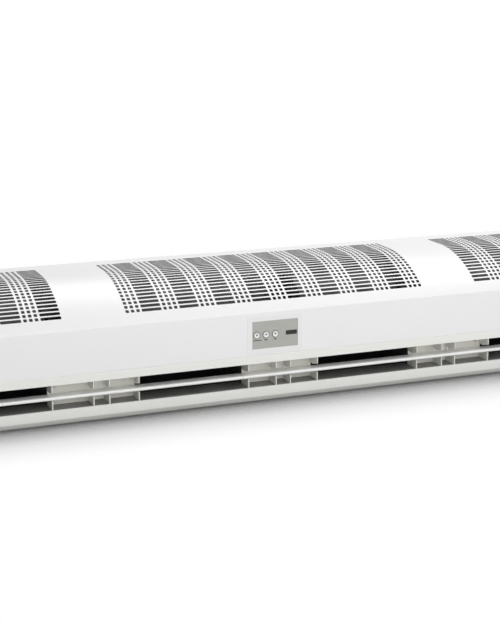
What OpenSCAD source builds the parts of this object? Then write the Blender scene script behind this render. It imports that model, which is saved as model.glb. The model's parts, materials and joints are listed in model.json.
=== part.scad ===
// Air curtain lying on its wall side, as it is laid down for display.
// X runs along the length, Y runs from the outlet front to the rear, and Z runs from the wall side
// to the room side. Y = 0 and X = 0 lie in the middle, and Z = 0 is the face that meets the wall.
// Inside the modules depth is measured from the outlet front, and in_frame() moves it to the middle.

/* [Casing] */
// Length over the end caps
casing_l = 1200; // [1180:5:1400]
// Depth from the outlet front to the rear
casing_d = 224; // [222:1:250]
// Height from the wall side to the flat of the cover
casing_h = 213; // [205:1:240]
// Thickness of the sheet steel of the cover and the tray
sheet_t = 0.8; // [0.6:0.1:1.5]
// Radius of the curved shoulder of the cover, next to the crease
curve_r = 198; // [180:1:220]
// How much wider the shoulder's radius is next to the flat
curve_widening = 4; // [1:0.5:8]
// Depth over which the shoulder curves before it runs flat
curve_run = 143; // [125:1:150]
// Height of the lower edge of the vertical face
face_bottom = 80; // [76:0.5:88]
// Gap left where two casing pieces meet
seam = 0.3; // [0.2:0.05:0.5]
// Thickness of the plate of an end cap
cap_t = 2.5; // [2:0.1:4]
// Depth of the end cap's inner rim
rim_depth = 14; // [8:1:20]
// Length of the cover's flange at the rear
rear_flange = 16; // [12:1:24]

/* [Grille] */
// Number of slot rows round the shoulder
rows = 21; // [16:1:22]
// Distance between rows, along the sheet
row_pitch = 8.8; // [8:0.1:9]
// Distance of the first row from the crease, along the sheet
row_start = 26; // [20:1:28]
// Height of a slot, along the sheet
slot_h = 6; // [4.5:0.1:6.4]
// Length of a short slot
short_w = 5.6; // [4.5:0.1:6.5]
// Length of a long slot
long_w = 33; // [28:0.5:36]
// Bridge of sheet between two slots of a row
bridge_w = 3.4; // [3:0.1:4]
// Short slots between two long ones
short_count = 3; // [2:1:4]
// Long slots in a row of the middle field
middle_longs = 8; // [6:1:8]
// Long slots in a row of an end field
end_longs = 3; // [2:1:3]
// Distance from the middle to an end field
end_field_x = 370; // [360:1:374]

/* [Outlet] */
// Height of the lower edge of the outlet slot
slot_bottom = 26.5; // [22:0.5:30]
// Height of the upper edge of the outlet slot
slot_top = 67.2; // [64:0.2:70]
// How far the outlet frame stands off the face
frame_proud = 1; // [0.8:0.1:1.5]
// Depth of the outlet throat
throat_d = 44; // [40:1:48]
// Wall of the outlet frame
frame_t = 2; // [1.6:0.1:2.6]
// Radius of the lip's lower edge
lip_r = 10; // [8:0.5:12]
// Depth of the lower rail's foot
foot_d = 30; // [24:1:34]
// Depth of the closed fillers behind the front
filler_recess = 30; // [29:0.5:31]
// Thickness of a filler's side flange, which shows as a rib
rib_t = 2; // [1.6:0.1:2.4]
// Half width of the gap at the middle of the centre fillers
centre_gap = 12; // [10:1:14]
// Width of the pair gap between the fillers before a motor
motor_gap = 24; // [20:1:28]
// Width of the inner filler before a motor
inner_filler_w = 51; // [46:1:54]

/* [Guide vane] */
// Radius of the vane's round nose
nose_r = 2.8; // [2.2:0.1:3.2]
// Depth from the nose's axis to the tail
vane_chord = 24; // [20:1:24.5]
// Thickness of the tail
tail_t = 1.6; // [1:0.1:2]
// Height of the vane's axis
vane_z = 44.8; // [42:0.2:48]
// Depth of the vane's axis behind the front
vane_d = 3.4; // [3.2:0.1:4]
// Largest swing of the vane to each side, in degrees
vane_swing = 12; // [6:1:12]
// Radius of a pivot pin
pivot_r = 1.5; // [1.3:0.1:1.7]
// Outer radius of a pivot bush
bush_r = 2.5; // [2.3:0.1:2.8]
// Length of a pivot bush
bush_l = 7; // [5:0.5:8]

/* [Fans] */
// Width of a scroll housing
scroll_w = 187; // [180:1:190]
// Distance from the middle to the inner scroll's near side
inner_scroll_x = 63; // [60:1:66]
// Distance between the two scrolls of a motor
motor_bay = 144; // [140:1:150]
// Depth of the fan axis behind the front
axis_d = 125; // [123:0.5:126]
// Height of the fan axis
axis_z = 104; // [103:0.5:108]
// Radius of the scroll's first quarter
scroll_r = 70; // [68:0.5:71]
// Growth of the radius at each quarter
scroll_step = 12; // [10:0.5:12]
// Sheet of a scroll housing
scroll_t = 1; // [0.8:0.1:1.2]
// Radius of an inlet
inlet_r = 43; // [40:0.5:44]
// Radius of a wheel
wheel_r = 57; // [54:0.5:58]
// Depth of the blade ring
blade_depth = 12; // [10:0.5:12.5]
// Gap between a wheel's end and the scroll's side
wheel_end_gap = 9.5; // [8:0.5:14]
// Number of blades
blades = 36; // [28:1:40]
// Thickness of a blade
blade_t = 0.9; // [0.7:0.1:1.2]
// Radius to which a blade is curved
blade_curve_r = 9; // [8.5:0.5:10]
// Radius of the shaft
shaft_r = 5; // [4:0.5:6]
// Radial running clearance of the shaft in the motor
shaft_play = 0.05; // [0.02:0.01:0.08]

/* [Motor] */
// Radius of the motor
motor_r = 46; // [42:0.5:50]
// Length of the motor's shell
motor_l = 78; // [70:1:84]
// Radius of a bearing boss
boss_r = 18; // [16:0.5:20]
// Length of a bearing boss
boss_l = 12; // [10:0.5:13]
// Thickness of a rubber ring round a boss
ring_t = 6; // [5:0.5:8]
// Sheet of the motor cradle
cradle_t = 2; // [1.5:0.1:3]
// Width of the cradle along Y
cradle_w = 76; // [70:1:84]

/* [Control panel] */
// Width of the grey plate
plate_w = 81; // [78:0.5:84]
// Height of the grey plate
plate_h = 46; // [42:0.5:48]
// Distance of the plate's middle from the middle of the casing
plate_x = -15.5; // [-24:0.5:0]
// Height of the plate's middle
plate_z = 115; // [114:0.5:117]
// Width of the pale border round the plate
border_w = 8.4; // [6:0.1:9]
// How far the border stands off the face
border_proud = 0.6; // [0.4:0.1:1]
// Thickness of the grey plate
plate_t = 1.6; // [1.2:0.1:2]
// Radius of a button
button_r = 5; // [4:0.1:5.5]
// Distance between buttons
button_pitch = 16.5; // [15:0.1:17]
// Distance of the first button from the plate's middle
button_first = -32.5; // [-33:0.1:-31]
// Travel of a button
button_travel = 1; // [0.6:0.1:1.2]
// How far a button stands off the plate
button_proud = 1.4; // [1.3:0.1:1.8]
// Width of the dark receiver window
window_w = 20; // [18:0.5:22]
// Height of the dark receiver window
window_h = 7.4; // [6:0.1:9]
// Distance of the window's middle from the plate's middle
window_x = 29.5; // [27:0.5:30]
// Depth of the box behind the panel
box_d = 34; // [30:1:38]

/* [Mounting and inlet] */
// Distance between the wall slots along X
wall_slot_x = 900; // [800:10:1000]
// Distance between the wall slots along Y
wall_slot_y = 120; // [100:5:130]
// Width of a wall slot
wall_slot_w = 6.5; // [5:0.5:8]
// Length of a wall slot
wall_slot_l = 16; // [12:0.5:20]
// Bore of the cable grommet
inlet_bore_r = 4.5; // [4:0.5:6]

/* [Fasteners] */
// Radius of a screw shank
screw_r = 2; // [1.5:0.1:2.2]
// Radius of a screw head
head_r = 3.8; // [3.2:0.1:4]
// Height of a screw head
head_h = 2.2; // [1.8:0.1:2.6]

/* [Hidden] */

$fn = 64;
eps = 0.01;            // overlap that lets a cut pass clean through
cut = 1;               // longer overlap for cuts through sheet

// Shoulder of the cover: a wide arc next to the flat and a tighter one down to the crease. They meet in the
// direction of a 7-24-25 triangle, which gives their seam exact coordinates.
seam_way = [-0.28, 0.96];
wide_r = curve_r + curve_widening;
wide_centre = [curve_run, casing_h - wide_r];
tight_centre = wide_centre + curve_widening * seam_way;
seam_angle = asin(-seam_way[0]);
crease_angle = asin(tight_centre[0] / curve_r);
tight_len = curve_r * (crease_angle - seam_angle) * PI / 180;
curve_len = tight_len + wide_r * seam_angle * PI / 180;
crease_z = tight_centre[1] + curve_r * cos(crease_angle);

// Casing
inner_l = casing_l - 2 * cap_t;
bend_r = 4;            // outer radius of the cover's rear bend
tray_rear = casing_d - sheet_t - seam;      // outer face of the tray's rear wall
tray_front = foot_d + seam;
tray_top = casing_h - bend_r - seam;        // below the cover's rear bend
fold_in = 14;          // depth of the cover's fold above the outlet frame
end_flange = 18;       // width of the tray's flanges that carry the end caps
rim_gap = seam + sheet_t;

// Fans along the length
bell_l = 6;            // length of the tapered end bells
cradle_gap = 1;        // cradle walls stand this far past the end bells
foot_w = 14;           // width of a scroll's foot on the tray
cradle_reach = motor_l / 2 + bell_l + boss_l / 2 + cradle_gap;
wheel_l = scroll_w - 2 * wheel_end_gap;
outer_x = inner_scroll_x + scroll_w + motor_bay;            // near side of the outer scroll
bay_x0 = inner_scroll_x + scroll_w;                          // motor bay, near side
motor_x = bay_x0 + motor_bay / 2;
throat_x = outer_x + scroll_w;                               // end of the outlet slot

// Scrolls, whose centres lie on the corners of a small square round the fan axis
scroll_x = [-outer_x - scroll_w, -bay_x0, inner_scroll_x, outer_x];
half_step = scroll_step / 2;
r1 = scroll_r;
r2 = scroll_r + scroll_step;
r3 = scroll_r + 2 * scroll_step;
tongue_way = [-0.8, -0.6];                  // direction of the tongue from the axis
collar_l = 5;          // length of an inlet collar
collar_flare = 4;      // widening of an inlet collar

// Outlet
frame_top = face_bottom - seam;
lap_t = frame_proud - seam;                 // lap of the frame in front of the face's lower edge
lip_centre = [lip_r - frame_proud, lip_r];
seat_gap = 0.15;       // gap of a filler under the throat's roof and over its floor
boss_w = 9;            // block that carries a pivot bush
notch_gap = 0.5;       // clearance of a rib's notch round the vane
fillers = [
    [-outer_x, -bay_x0 - inner_filler_w - motor_gap],
    [-bay_x0 - inner_filler_w, -bay_x0],
    [-inner_scroll_x, -centre_gap],
    [centre_gap, inner_scroll_x],
    [bay_x0, bay_x0 + inner_filler_w],
    [bay_x0 + inner_filler_w + motor_gap, outer_x]
];
flange_w = 14;         // width of a scroll's outlet flange behind a filler
flange_d = filler_recess + rib_t + seam;
web_lap = 8;           // a web reaches this far behind the fillers at its sides

// Wheels
hub_r = 12;
hub_l = 24;
end_ring_w = 10;
end_ring_t = 1.5;
disc_t = 2;
hub_play = 0.02;
blade_start = wheel_r - blade_depth;
set_screw_r = 2.5;
set_screw_l = 6;
set_screw_x = (hub_l + disc_t) / 4;         // the set screw lies half-way along the hub's free part
shaft_end = 4;         // the shaft stands this far out of the hub
shaft_l = motor_bay + scroll_w + hub_l + 2 * shaft_end;

// Motor
ring_r = boss_r + ring_t;
bolt_x = 30;
bolt_y = 30;
capacitor_size = [54, 24, 36];
capacitor_d = (axis_d + cradle_w / 2 + tray_rear - sheet_t) / 2;
clip_t = 1;

// Control panel
plate_face = 0.4;      // the plate lies this far behind the face
border_back = 3;       // depth of the border's ledge behind the face
ledge_w = 1.5;         // width of the ledge that carries the plate
panel_gap = 0.2;       // gap between plate and border
button_gap = 0.3;      // radial clearance of a button in the plate
button_flange = 1.2;   // width of the flange that holds a button in
button_flange_t = 1;
stem_r = 2;
board_t = 1.6;
board_d = 18;          // depth of the board's front behind the face
switch_h = 4;
switch_w = 6;
box_t = 1.6;
box_w = plate_w + 2 * border_w - 4;
box_h = plate_h + 2 * border_w - 6;
post_r = 3;

// Mounting
grommet_r = 9;
grommet_inset = 57.5;  // distance of the grommet from the left end of the tray
grommet_x = grommet_inset - inner_l / 2;
grommet_z = 40;
terminal_size = [70, 22, 18];
terminal_x = 10;
terminal_inset = 58;   // distance from the front of the terminal block to the rear wall
terminal_d = tray_rear - terminal_inset;
ways = 6;

screw_hole_r = screw_r + 0.1;
cover_screw_count = 6;
cover_screw_inset = 97.5;                   // distance of the outermost screws from the tray's ends
cover_screw_pitch = (inner_l - 2 * cover_screw_inset) / (cover_screw_count - 1);
cover_screw_x = [for (i = [0 : cover_screw_count - 1])
    cover_screw_inset - inner_l / 2 + i * cover_screw_pitch];
cover_screw_z = casing_h - (rear_flange + bend_r) / 2;
cap_screw_front = 30;  // distance of a cap's front screw behind the rail's foot
cap_screw_rear = 43;   // distance of a cap's rear screw from the rear wall
cap_screw_at = [
    [foot_d + cap_screw_front, end_flange / 2],
    [tray_rear - cap_screw_rear, end_flange / 2],
    [tray_rear - end_flange / 2, casing_h / 2]
];

function button_x(i) = plate_x + button_first + i * button_pitch;

// ---- helpers ------------------------------------------------------------------------------

// Moves a piece from front-based depth to the frame of the casing
module in_frame() translate([0, -casing_d / 2, 0]) children();

// Extrudes a profile of depth and height along X, from x0 to x1
module along_x(x0, x1) translate([x0, 0, 0]) rotate([90, 0, 90]) linear_extrude(x1 - x0) children();

// Box and rectangle by their lowest and highest corners
module block(low, high) translate(low) cube(high - low);
module square_at(low, high) translate(low) square(high - low);

// Slice of a disc, between the first and the last of the given directions
module slice(centre, r, directions) intersection() {
    translate(centre) circle(r = r, $fn = 200);
    polygon([centre, for (v = directions) centre + 2 * r * v]);
}

// Cylinder whose axis runs along X, Y or Z from a point
module rod_x(p, r, l) translate(p) rotate([0, 90, 0]) cylinder(r = r, h = l);
module rod_y(p, r, l) translate(p) rotate([-90, 0, 0]) cylinder(r = r, h = l);
module rod_z(p, r, l) translate(p) cylinder(r = r, h = l);

// Pan-head screw whose head stands on z = 0 and whose shank runs down
module screw(shank) {
    translate([0, 0, -shank]) cylinder(r = screw_r, h = shank + eps);
    difference() {
        cylinder(r1 = head_r, r2 = head_r * 0.8, h = head_h);
        for (a = [0, 90]) rotate([0, 0, a])
            translate([-head_r * 0.6, -0.5, head_h - 0.9]) cube([head_r * 1.2, 1, 2]);
    }
}

// ---- casing -------------------------------------------------------------------------------

// Outline of the closed casing section, drawn in by the given distance
module section(inset) {
    difference() {
        intersection() {
            square_at([inset, inset], [casing_d - inset, casing_h - inset]);
            union() {
                square_at([0, 0], [casing_d, crease_z - inset]);
                square_at([curve_run, 0], [casing_d, casing_h]);
                slice(wide_centre, wide_r - inset, [[0, 1], seam_way]);
                slice(tight_centre, curve_r - inset, [seam_way, [-1, 0.8]]);
            }
        }
        lip_corner(inset);
        rear_corner(inset);
    }
}

// What the rounded front lip cuts off the section
module lip_corner(inset) {
    difference() {
        translate([-cut, -cut]) square(lip_r + cut);
        translate([lip_r, lip_r]) circle(r = lip_r - inset);
    }
}

// What the rear bend cuts off the section
module rear_corner(inset) {
    difference() {
        translate([casing_d - bend_r, casing_h - bend_r]) square(bend_r + cut);
        translate([casing_d - bend_r, casing_h - bend_r]) circle(r = bend_r - inset);
    }
}

// The cover's sheet in section: face, shoulder, flat top, rear flange and the fold over the outlet
module cover_profile() {
    difference() {
        section(0);
        section(sheet_t);
        translate([-cut, -cut]) square([casing_d + 2 * cut, face_bottom + cut]);
        translate([casing_d / 2, -cut]) square([casing_d, casing_h - rear_flange + cut]);
    }
    translate([0, face_bottom]) square([fold_in, sheet_t]);
}

// Puts its children on the sheet, this far along it from the crease
module on_sheet(s) {
    if (s < tight_len)
        on_arc(tight_centre, curve_r, crease_angle - s / curve_r * 180 / PI) children();
    else if (s < curve_len)
        on_arc(wide_centre, wide_r, (curve_len - s) / wide_r * 180 / PI) children();
    else
        translate([0, curve_run + s - curve_len, casing_h]) children();
}

module on_arc(centre, r, angle)
    translate([0, centre[0], centre[1]]) rotate([angle, 0, 0]) translate([0, 0, r]) children();

// Slots of one row: the left ends and lengths that one period repeats
period = long_w + short_count * short_w + (short_count + 1) * bridge_w;
short_step = short_w + bridge_w;
middle_x0 = -(middle_longs * period + short_count * short_step - bridge_w) / 2;

module slot(x, w) translate([x, -slot_h / 2]) square([w, slot_h]);

module short_group(x) for (i = [0 : short_count - 1]) slot(x + i * short_step, short_w);

module row_slots() {
    short_group(middle_x0);
    for (k = [0 : middle_longs - 1]) {
        x = middle_x0 + short_count * short_step + k * period;
        slot(x, long_w);
        short_group(x + long_w + bridge_w);
    }
    for (side = [0, 1]) mirror([side, 0]) for (k = [0 : end_longs - 1]) {
        x = end_field_x + k * period;
        slot(x, long_w);
        short_group(x + long_w + bridge_w);
    }
}

module front_cover() in_frame() color([0.95, 0.95, 0.95]) difference() {
    along_x(-inner_l / 2, inner_l / 2) cover_profile();
    for (i = [0 : rows - 1]) on_sheet(row_start + i * row_pitch)
        translate([0, 0, -sheet_t - cut]) linear_extrude(sheet_t + 2 * cut) row_slots();
    block([plate_x - plate_w / 2 - border_w / 2, -cut, plate_z - plate_h / 2 - border_w / 2],
        [plate_x + plate_w / 2 + border_w / 2, sheet_t + cut, plate_z + plate_h / 2 + border_w / 2]);
    for (x = cover_screw_x)
        rod_y([x, casing_d - sheet_t - cut, cover_screw_z], screw_hole_r, sheet_t + 2 * cut);
}

// Sheet tray: floor on the wall, rear wall and a short front upstand
module back_tray() in_frame() color([0.83, 0.84, 0.84]) difference() {
    union() {
        block([-inner_l / 2, tray_front, 0], [inner_l / 2, tray_rear, sheet_t]);
        block([-inner_l / 2, tray_rear - sheet_t, 0], [inner_l / 2, tray_rear, tray_top]);
        block([-inner_l / 2, tray_front, 0],
            [inner_l / 2, tray_front + sheet_t, slot_bottom - frame_t - seam]);
        for (s = [0, 1]) mirror([s, 0, 0]) {
            block([inner_l / 2 - sheet_t, tray_front, 0], [inner_l / 2, tray_rear, end_flange]);
            block([inner_l / 2 - sheet_t, tray_rear - end_flange, 0], [inner_l / 2, tray_rear, tray_top]);
        }
    }
    for (p = cap_screw_at) rod_x([-inner_l / 2 - cut, p[0], p[1]], screw_hole_r, inner_l + 2 * cut);
    for (x = [-1, 1]) for (y = [-1, 1])
        translate([x * wall_slot_x / 2, casing_d / 2 + y * wall_slot_y / 2, 0]) wall_slot();
    rod_y([grommet_x, tray_rear - sheet_t - cut, grommet_z], grommet_r - 1.5, sheet_t + 2 * cut);
    for (x = cover_screw_x)
        rod_y([x, tray_rear - sheet_t - cut, cover_screw_z], screw_hole_r, sheet_t + 2 * cut);
    for (p = motor_bolt_places()) rod_z([p[0], p[1], -cut], screw_hole_r, sheet_t + 2 * cut);
    for (p = scroll_screw_places()) rod_z([p[0], p[1], -cut], screw_hole_r, sheet_t + 2 * cut);
}

module wall_slot() {
    reach = (wall_slot_l - wall_slot_w) / 2;
    translate([0, 0, -cut]) linear_extrude(sheet_t + 2 * cut) {
        square([2 * reach, wall_slot_w], center = true);
        for (s = [-1, 1]) translate([s * reach, 0]) circle(d = wall_slot_w);
    }
}

// End cap: a plate with the casing's outline and a rim that reaches inside the cover
module end_cap() {
    difference() {
        along_x(inner_l / 2, casing_l / 2) section(0);
        for (p = cap_screw_at) rod_x([inner_l / 2 - cut, p[0], p[1]], screw_hole_r, cap_t + 2 * cut);
    }
    along_x(inner_l / 2 - rim_depth, inner_l / 2 + eps) cap_rim();
}

module cap_rim() difference() {
    section(rim_gap);
    section(rim_gap + 1.6);
    translate([-cut, -cut]) square([casing_d + 2 * cut, face_bottom + sheet_t + seam + cut]);
    translate([tray_rear - end_flange - seam, 0]) square([casing_d, casing_h]);
}

module end_cap_right() in_frame() color([0.93, 0.93, 0.93]) end_cap();
module end_cap_left() in_frame() color([0.93, 0.93, 0.93]) mirror([1, 0, 0]) end_cap();

// ---- outlet -------------------------------------------------------------------------------

module upper_rail() {
    square_at([0, slot_top], [throat_d, slot_top + frame_t]);
    square_at([-frame_proud, slot_top], [frame_t, frame_top]);
    square_at([0, frame_top - frame_t], [fold_in + frame_t, frame_top]);
    square_at([-frame_proud, slot_top], [-seam, face_bottom]);
    intersection() {
        translate([-seam, face_bottom]) circle(r = lap_t);
        square_at([-frame_proud, face_bottom], [-seam, face_bottom + lap_t]);
    }
}

module lower_rail() {
    square_at([-frame_proud, slot_bottom - frame_t], [throat_d, slot_bottom]);
    square_at([-frame_proud, lip_r], [frame_t - frame_proud, slot_bottom]);
    square_at([lip_centre[0], 0], [foot_d, frame_t]);
    intersection() {
        difference() {
            translate(lip_centre) circle(r = lip_r);
            translate(lip_centre) circle(r = lip_r - frame_t);
        }
        square_at([-frame_proud, 0], lip_centre);
    }
}

// Ends of the frame: the throat's side wall, the closed front and the block for the pivot bush
module frame_end() difference() {
    union() {
        block([throat_x, 0, slot_bottom - eps], [throat_x + frame_t, throat_d, slot_top + eps]);
        block([throat_x, -frame_proud, slot_bottom - eps], [inner_l / 2, frame_t, slot_top + eps]);
        block([throat_x, 0, vane_z - boss_w / 2],
            [throat_x + bush_l, vane_d + boss_w / 2, vane_z + boss_w / 2]);
    }
    rod_x([throat_x - cut, vane_d, vane_z], bush_r, bush_l + 2 * cut);
}

// Webs join the two rails behind the gaps between the fillers, which seat against them
module outlet_frame() in_frame() color([0.9, 0.9, 0.87]) {
    along_x(-inner_l / 2, inner_l / 2) upper_rail();
    along_x(-inner_l / 2, inner_l / 2) lower_rail();
    frame_end();
    mirror([1, 0, 0]) frame_end();
    for (i = [0, 2, 4]) block([fillers[i][1] - web_lap, flange_d, slot_bottom - eps],
        [fillers[i + 1][0] + web_lap, flange_d + frame_t, slot_top + eps]);
}

// Notch in a rib, wide enough for the vane over its whole swing
module vane_notch() {
    reach = filler_recess - vane_d;
    rise = reach * tan(vane_swing) + tail_t / 2 + 2 * notch_gap;
    translate([vane_d, vane_z]) {
        circle(r = nose_r + notch_gap);
        square_at([-vane_d - cut, -nose_r - notch_gap], [0, nose_r + notch_gap]);
        polygon([[0, -nose_r - notch_gap], [reach, -rise], [reach, rise], [0, nose_r + notch_gap]]);
    }
}

// Channel that closes the throat where no fan blows; its flanges are the ribs
module filler(span) in_frame() color([0.9, 0.9, 0.86]) {
    low = slot_bottom + seat_gap;
    high = slot_top - seat_gap;
    difference() {
        block([span[0], filler_recess, low], [span[1], filler_recess + rib_t, high]);
        if (abs(span[0]) > bay_x0 + inner_filler_w || abs(span[1]) > bay_x0 + inner_filler_w)
            rod_y([filler_screw_x(span), filler_recess - cut, filler_screw_z],
                screw_hole_r, rib_t + 2 * cut);
    }
    for (x = [span[0], span[1] - rib_t]) difference() {
        block([x, 0, low], [x + rib_t, filler_recess + eps, high]);
        along_x(x - cut, x + rib_t + cut) vane_notch();
    }
}

filler_screw_z = slot_top - 8;
function filler_screw_x(span) = span[0] < 0 ? span[0] + 11 : span[1] - 11;

// The vane: a round nose on its axis, tapering to a thin tail
module vane_profile() translate([vane_d, vane_z]) {
    circle(r = nose_r);
    polygon([
        [0, nose_r], [vane_chord - tail_t / 2, tail_t / 2],
        [vane_chord - tail_t / 2, -tail_t / 2], [0, -nose_r]
    ]);
    translate([vane_chord - tail_t / 2, 0]) circle(d = tail_t);
}

module guide_vane() in_frame() color([0.9, 0.9, 0.88]) {
    along_x(-throat_x + seam, throat_x - seam) vane_profile();
    rod_x([-throat_x - bush_l + 1, vane_d, vane_z], pivot_r, 2 * (throat_x + bush_l - 1));
}

module vane_bush(side) in_frame() color([0.2, 0.2, 0.2]) mirror([side, 0, 0]) difference() {
    rod_x([throat_x + eps, vane_d, vane_z], bush_r - hub_play, bush_l - 2 * eps);
    rod_x([throat_x - cut, vane_d, vane_z], pivot_r + shaft_play, bush_l + 2 * cut);
}

// ---- fans ---------------------------------------------------------------------------------

// Section of a scroll's air space, grown by the given sheet thickness: three slices that widen round
// the axis, and the duct between them and the outlet slot
module scroll_area(t) translate([axis_d, axis_z]) {
    c = half_step;
    slice([c, c], r1 + t, [[0, 1], [-1, 1], [-1, 0], tongue_way]);
    slice([c, -c], r2 + t, [[1, 0], [1, 1], [0, 1]]);
    slice([-c, -c], r3 + t, [[0, -1], [1, -1], [1, 0]]);
    polygon([
        [-c, -c - r3 - t],
        [throat_d + seam - axis_d, slot_bottom - t - axis_z],
        [throat_d + seam - axis_d, slot_top + t - axis_z],
        [c, c] + (r1 + t) * tongue_way,
        [c, c],
        [c, -c],
        [-c, -c]
    ]);
}

module scroll_side() difference() {
    union() {
        scroll_area(scroll_t);
        square_at([flange_d, slot_bottom + seam], [throat_d + cut, slot_top - seam]);
        square_at([axis_d - foot_w, sheet_t], [axis_d + foot_w, axis_z - r2]);
    }
    translate([axis_d, axis_z]) circle(r = inlet_r + collar_flare);
}

// Flared inlet collar that leads from the side plate into the wheel
module inlet_collar() rotate([0, 90, 0]) rotate_extrude()
    polygon([
        [inlet_r + collar_flare + eps, 0],
        [inlet_r + collar_flare + eps, scroll_t],
        [inlet_r + scroll_t, collar_l],
        [inlet_r, collar_l],
        [inlet_r, collar_l - scroll_t],
        [inlet_r + collar_flare - scroll_t, 0]
    ]);

module scroll(x) in_frame() color([0.6, 0.62, 0.64]) {
    difference() {
        along_x(x, x + scroll_w) scroll_area(scroll_t);
        along_x(x + scroll_t, x + scroll_w - scroll_t) {
            scroll_area(0);
            square_at([throat_d, slot_bottom], [throat_d + cut, slot_top]);
        }
        rod_x([x - cut, axis_d, axis_z], inlet_r + collar_flare, scroll_w + 2 * cut);
    }
    for (s = [0, 1]) translate([x + s * scroll_w, 0, 0]) mirror([s, 0, 0]) {
        along_x(0, scroll_t) scroll_side();
        translate([0, axis_d, axis_z]) inlet_collar();
        if (abs(x + s * scroll_w) < throat_x - flange_w)
            block([-flange_w, flange_d, slot_bottom + seam],
                [scroll_t, flange_d + scroll_t, slot_top - seam]);
        difference() {
            block([-foot_w, axis_d - foot_w, sheet_t], [scroll_t, axis_d + foot_w, sheet_t + scroll_t]);
            rod_z([-foot_w / 2, axis_d, 0], screw_hole_r, 3 * sheet_t + scroll_t);
        }
    }
}

// Half of a blade's curve, from the wheel's inner to its outer edge
module blade() intersection() {
    difference() {
        circle(r = wheel_r - 0.5);
        circle(r = blade_start);
    }
    translate([wheel_r - blade_depth / 2, -blade_curve_r * 0.75]) difference() {
        circle(r = blade_curve_r);
        circle(r = blade_curve_r - blade_t);
        translate([-2 * blade_curve_r, -2 * blade_curve_r]) square([4 * blade_curve_r, 2 * blade_curve_r]);
    }
}

module wheel(x) in_frame() color([0.75, 0.77, 0.78])
    translate([x - wheel_l / 2, axis_d, axis_z]) rotate([90, 0, 90]) difference() {
        union() {
            translate([0, 0, end_ring_t / 2]) linear_extrude(wheel_l - end_ring_t)
                for (i = [0 : blades - 1]) rotate(i * 360 / blades) blade();
            for (z = [0, wheel_l - end_ring_t]) translate([0, 0, z]) difference() {
                cylinder(r = wheel_r, h = end_ring_t);
                translate([0, 0, -cut]) cylinder(r = wheel_r - end_ring_w, h = end_ring_t + 2 * cut);
            }
            translate([0, 0, (wheel_l - disc_t) / 2])
                cylinder(r = blade_start + blade_depth / 2, h = disc_t);
            translate([0, 0, (wheel_l - hub_l) / 2]) cylinder(r = hub_r, h = hub_l);
        }
        translate([0, 0, wheel_l / 2 - hub_l]) cylinder(r = shaft_r + hub_play, h = 2 * hub_l);
        translate([0, 0, wheel_l / 2 + set_screw_x]) rotate([-90, 0, 0])
            cylinder(r = set_screw_r + hub_play, h = hub_r + cut);
    }

function wheel_x(i) = scroll_x[i] + scroll_w / 2;

module shaft(side) in_frame() color([0.7, 0.7, 0.72])
    rod_x([side * motor_x - shaft_l / 2, axis_d, axis_z], shaft_r, shaft_l);

module set_screws(first) in_frame() color([0.2, 0.2, 0.22]) for (i = [first, first + 1])
    translate([wheel_x(i) + set_screw_x, axis_d, axis_z + shaft_r + hub_play]) difference() {
        cylinder(r = set_screw_r, h = set_screw_l);
        translate([0, 0, set_screw_l - 2]) cylinder(r = 1.3, h = 3, $fn = 6);
    }

// ---- motors -------------------------------------------------------------------------------

module motor(side) in_frame() color([0.25, 0.27, 0.3])
    translate([side * motor_x, axis_d, axis_z]) rotate([0, 90, 0]) difference() {
        shell_end = motor_l / 2;
        bell_end = shell_end + bell_l;
        boss_end = bell_end + boss_l;
        rotate_extrude() polygon([
            [0, -boss_end], [boss_r, -boss_end], [boss_r, -bell_end], [motor_r - bell_l, -bell_end],
            [motor_r, -shell_end], [motor_r, shell_end],
            [motor_r - bell_l, bell_end], [boss_r, bell_end], [boss_r, boss_end], [0, boss_end]
        ]);
        translate([0, 0, -motor_l]) cylinder(r = shaft_r + shaft_play, h = 2 * motor_l);
        for (a = [0 : 45 : 315]) for (s = [-1, 1]) rotate([0, 0, a + 22.5])
            translate([(boss_r + motor_r) / 2, 0, s * bell_end]) cube([14, 6, 8], center = true);
    }

module motor_rings(side) in_frame() color([0.12, 0.12, 0.12])
    for (s = [-1, 1]) translate([side * motor_x, axis_d, axis_z]) {
        x = s * cradle_reach;
        difference() {
            rod_x([x - cradle_t - 1, 0, 0], ring_r, 2 * cradle_t + 2);
            rod_x([x - cradle_t - 2, 0, 0], boss_r, 2 * cradle_t + 4);
            difference() {
                rod_x([x - cradle_t / 2, 0, 0], ring_r + cut, cradle_t);
                rod_x([x - cradle_t / 2 - cut, 0, 0], ring_r - 2, cradle_t + 2 * cut);
            }
        }
    }

module motor_cradle(side) in_frame() color([0.68, 0.7, 0.72]) translate([side * motor_x, axis_d, 0]) {
    reach = cradle_reach;
    for (s = [-1, 1]) translate([s * reach - cradle_t / 2, 0, 0]) difference() {
        union() {
            along_x(0, cradle_t) polygon([
                [-cradle_w / 2, sheet_t], [cradle_w / 2, sheet_t],
                [ring_r + 6, axis_z], [-ring_r - 6, axis_z]
            ]);
            rod_x([0, 0, axis_z], ring_r + 6, cradle_t);
        }
        rod_x([-cut, 0, axis_z], ring_r - 2, cradle_t + 2 * cut);
    }
    difference() {
        block([-reach, -cradle_w / 2, sheet_t], [reach, cradle_w / 2, sheet_t + cradle_t]);
        for (x = [-1, 1]) for (y = [-1, 1])
            rod_z([x * bolt_x, y * bolt_y, 0], screw_hole_r, 3 * sheet_t + cradle_t);
    }
}

function motor_bolt_places() = [for (side = [-1, 1]) for (x = [-1, 1]) for (y = [-1, 1])
    [side * motor_x + x * bolt_x, axis_d + y * bolt_y]];

module motor_bolts() in_frame() color([0.75, 0.75, 0.77]) for (p = motor_bolt_places())
    translate([p[0], p[1], sheet_t + cradle_t]) screw(sheet_t + cradle_t);

function scroll_screw_places() = [for (x = scroll_x) for (s = [0, 1])
    [x + s * scroll_w + (s == 0 ? -foot_w / 2 : foot_w / 2), axis_d]];

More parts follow.
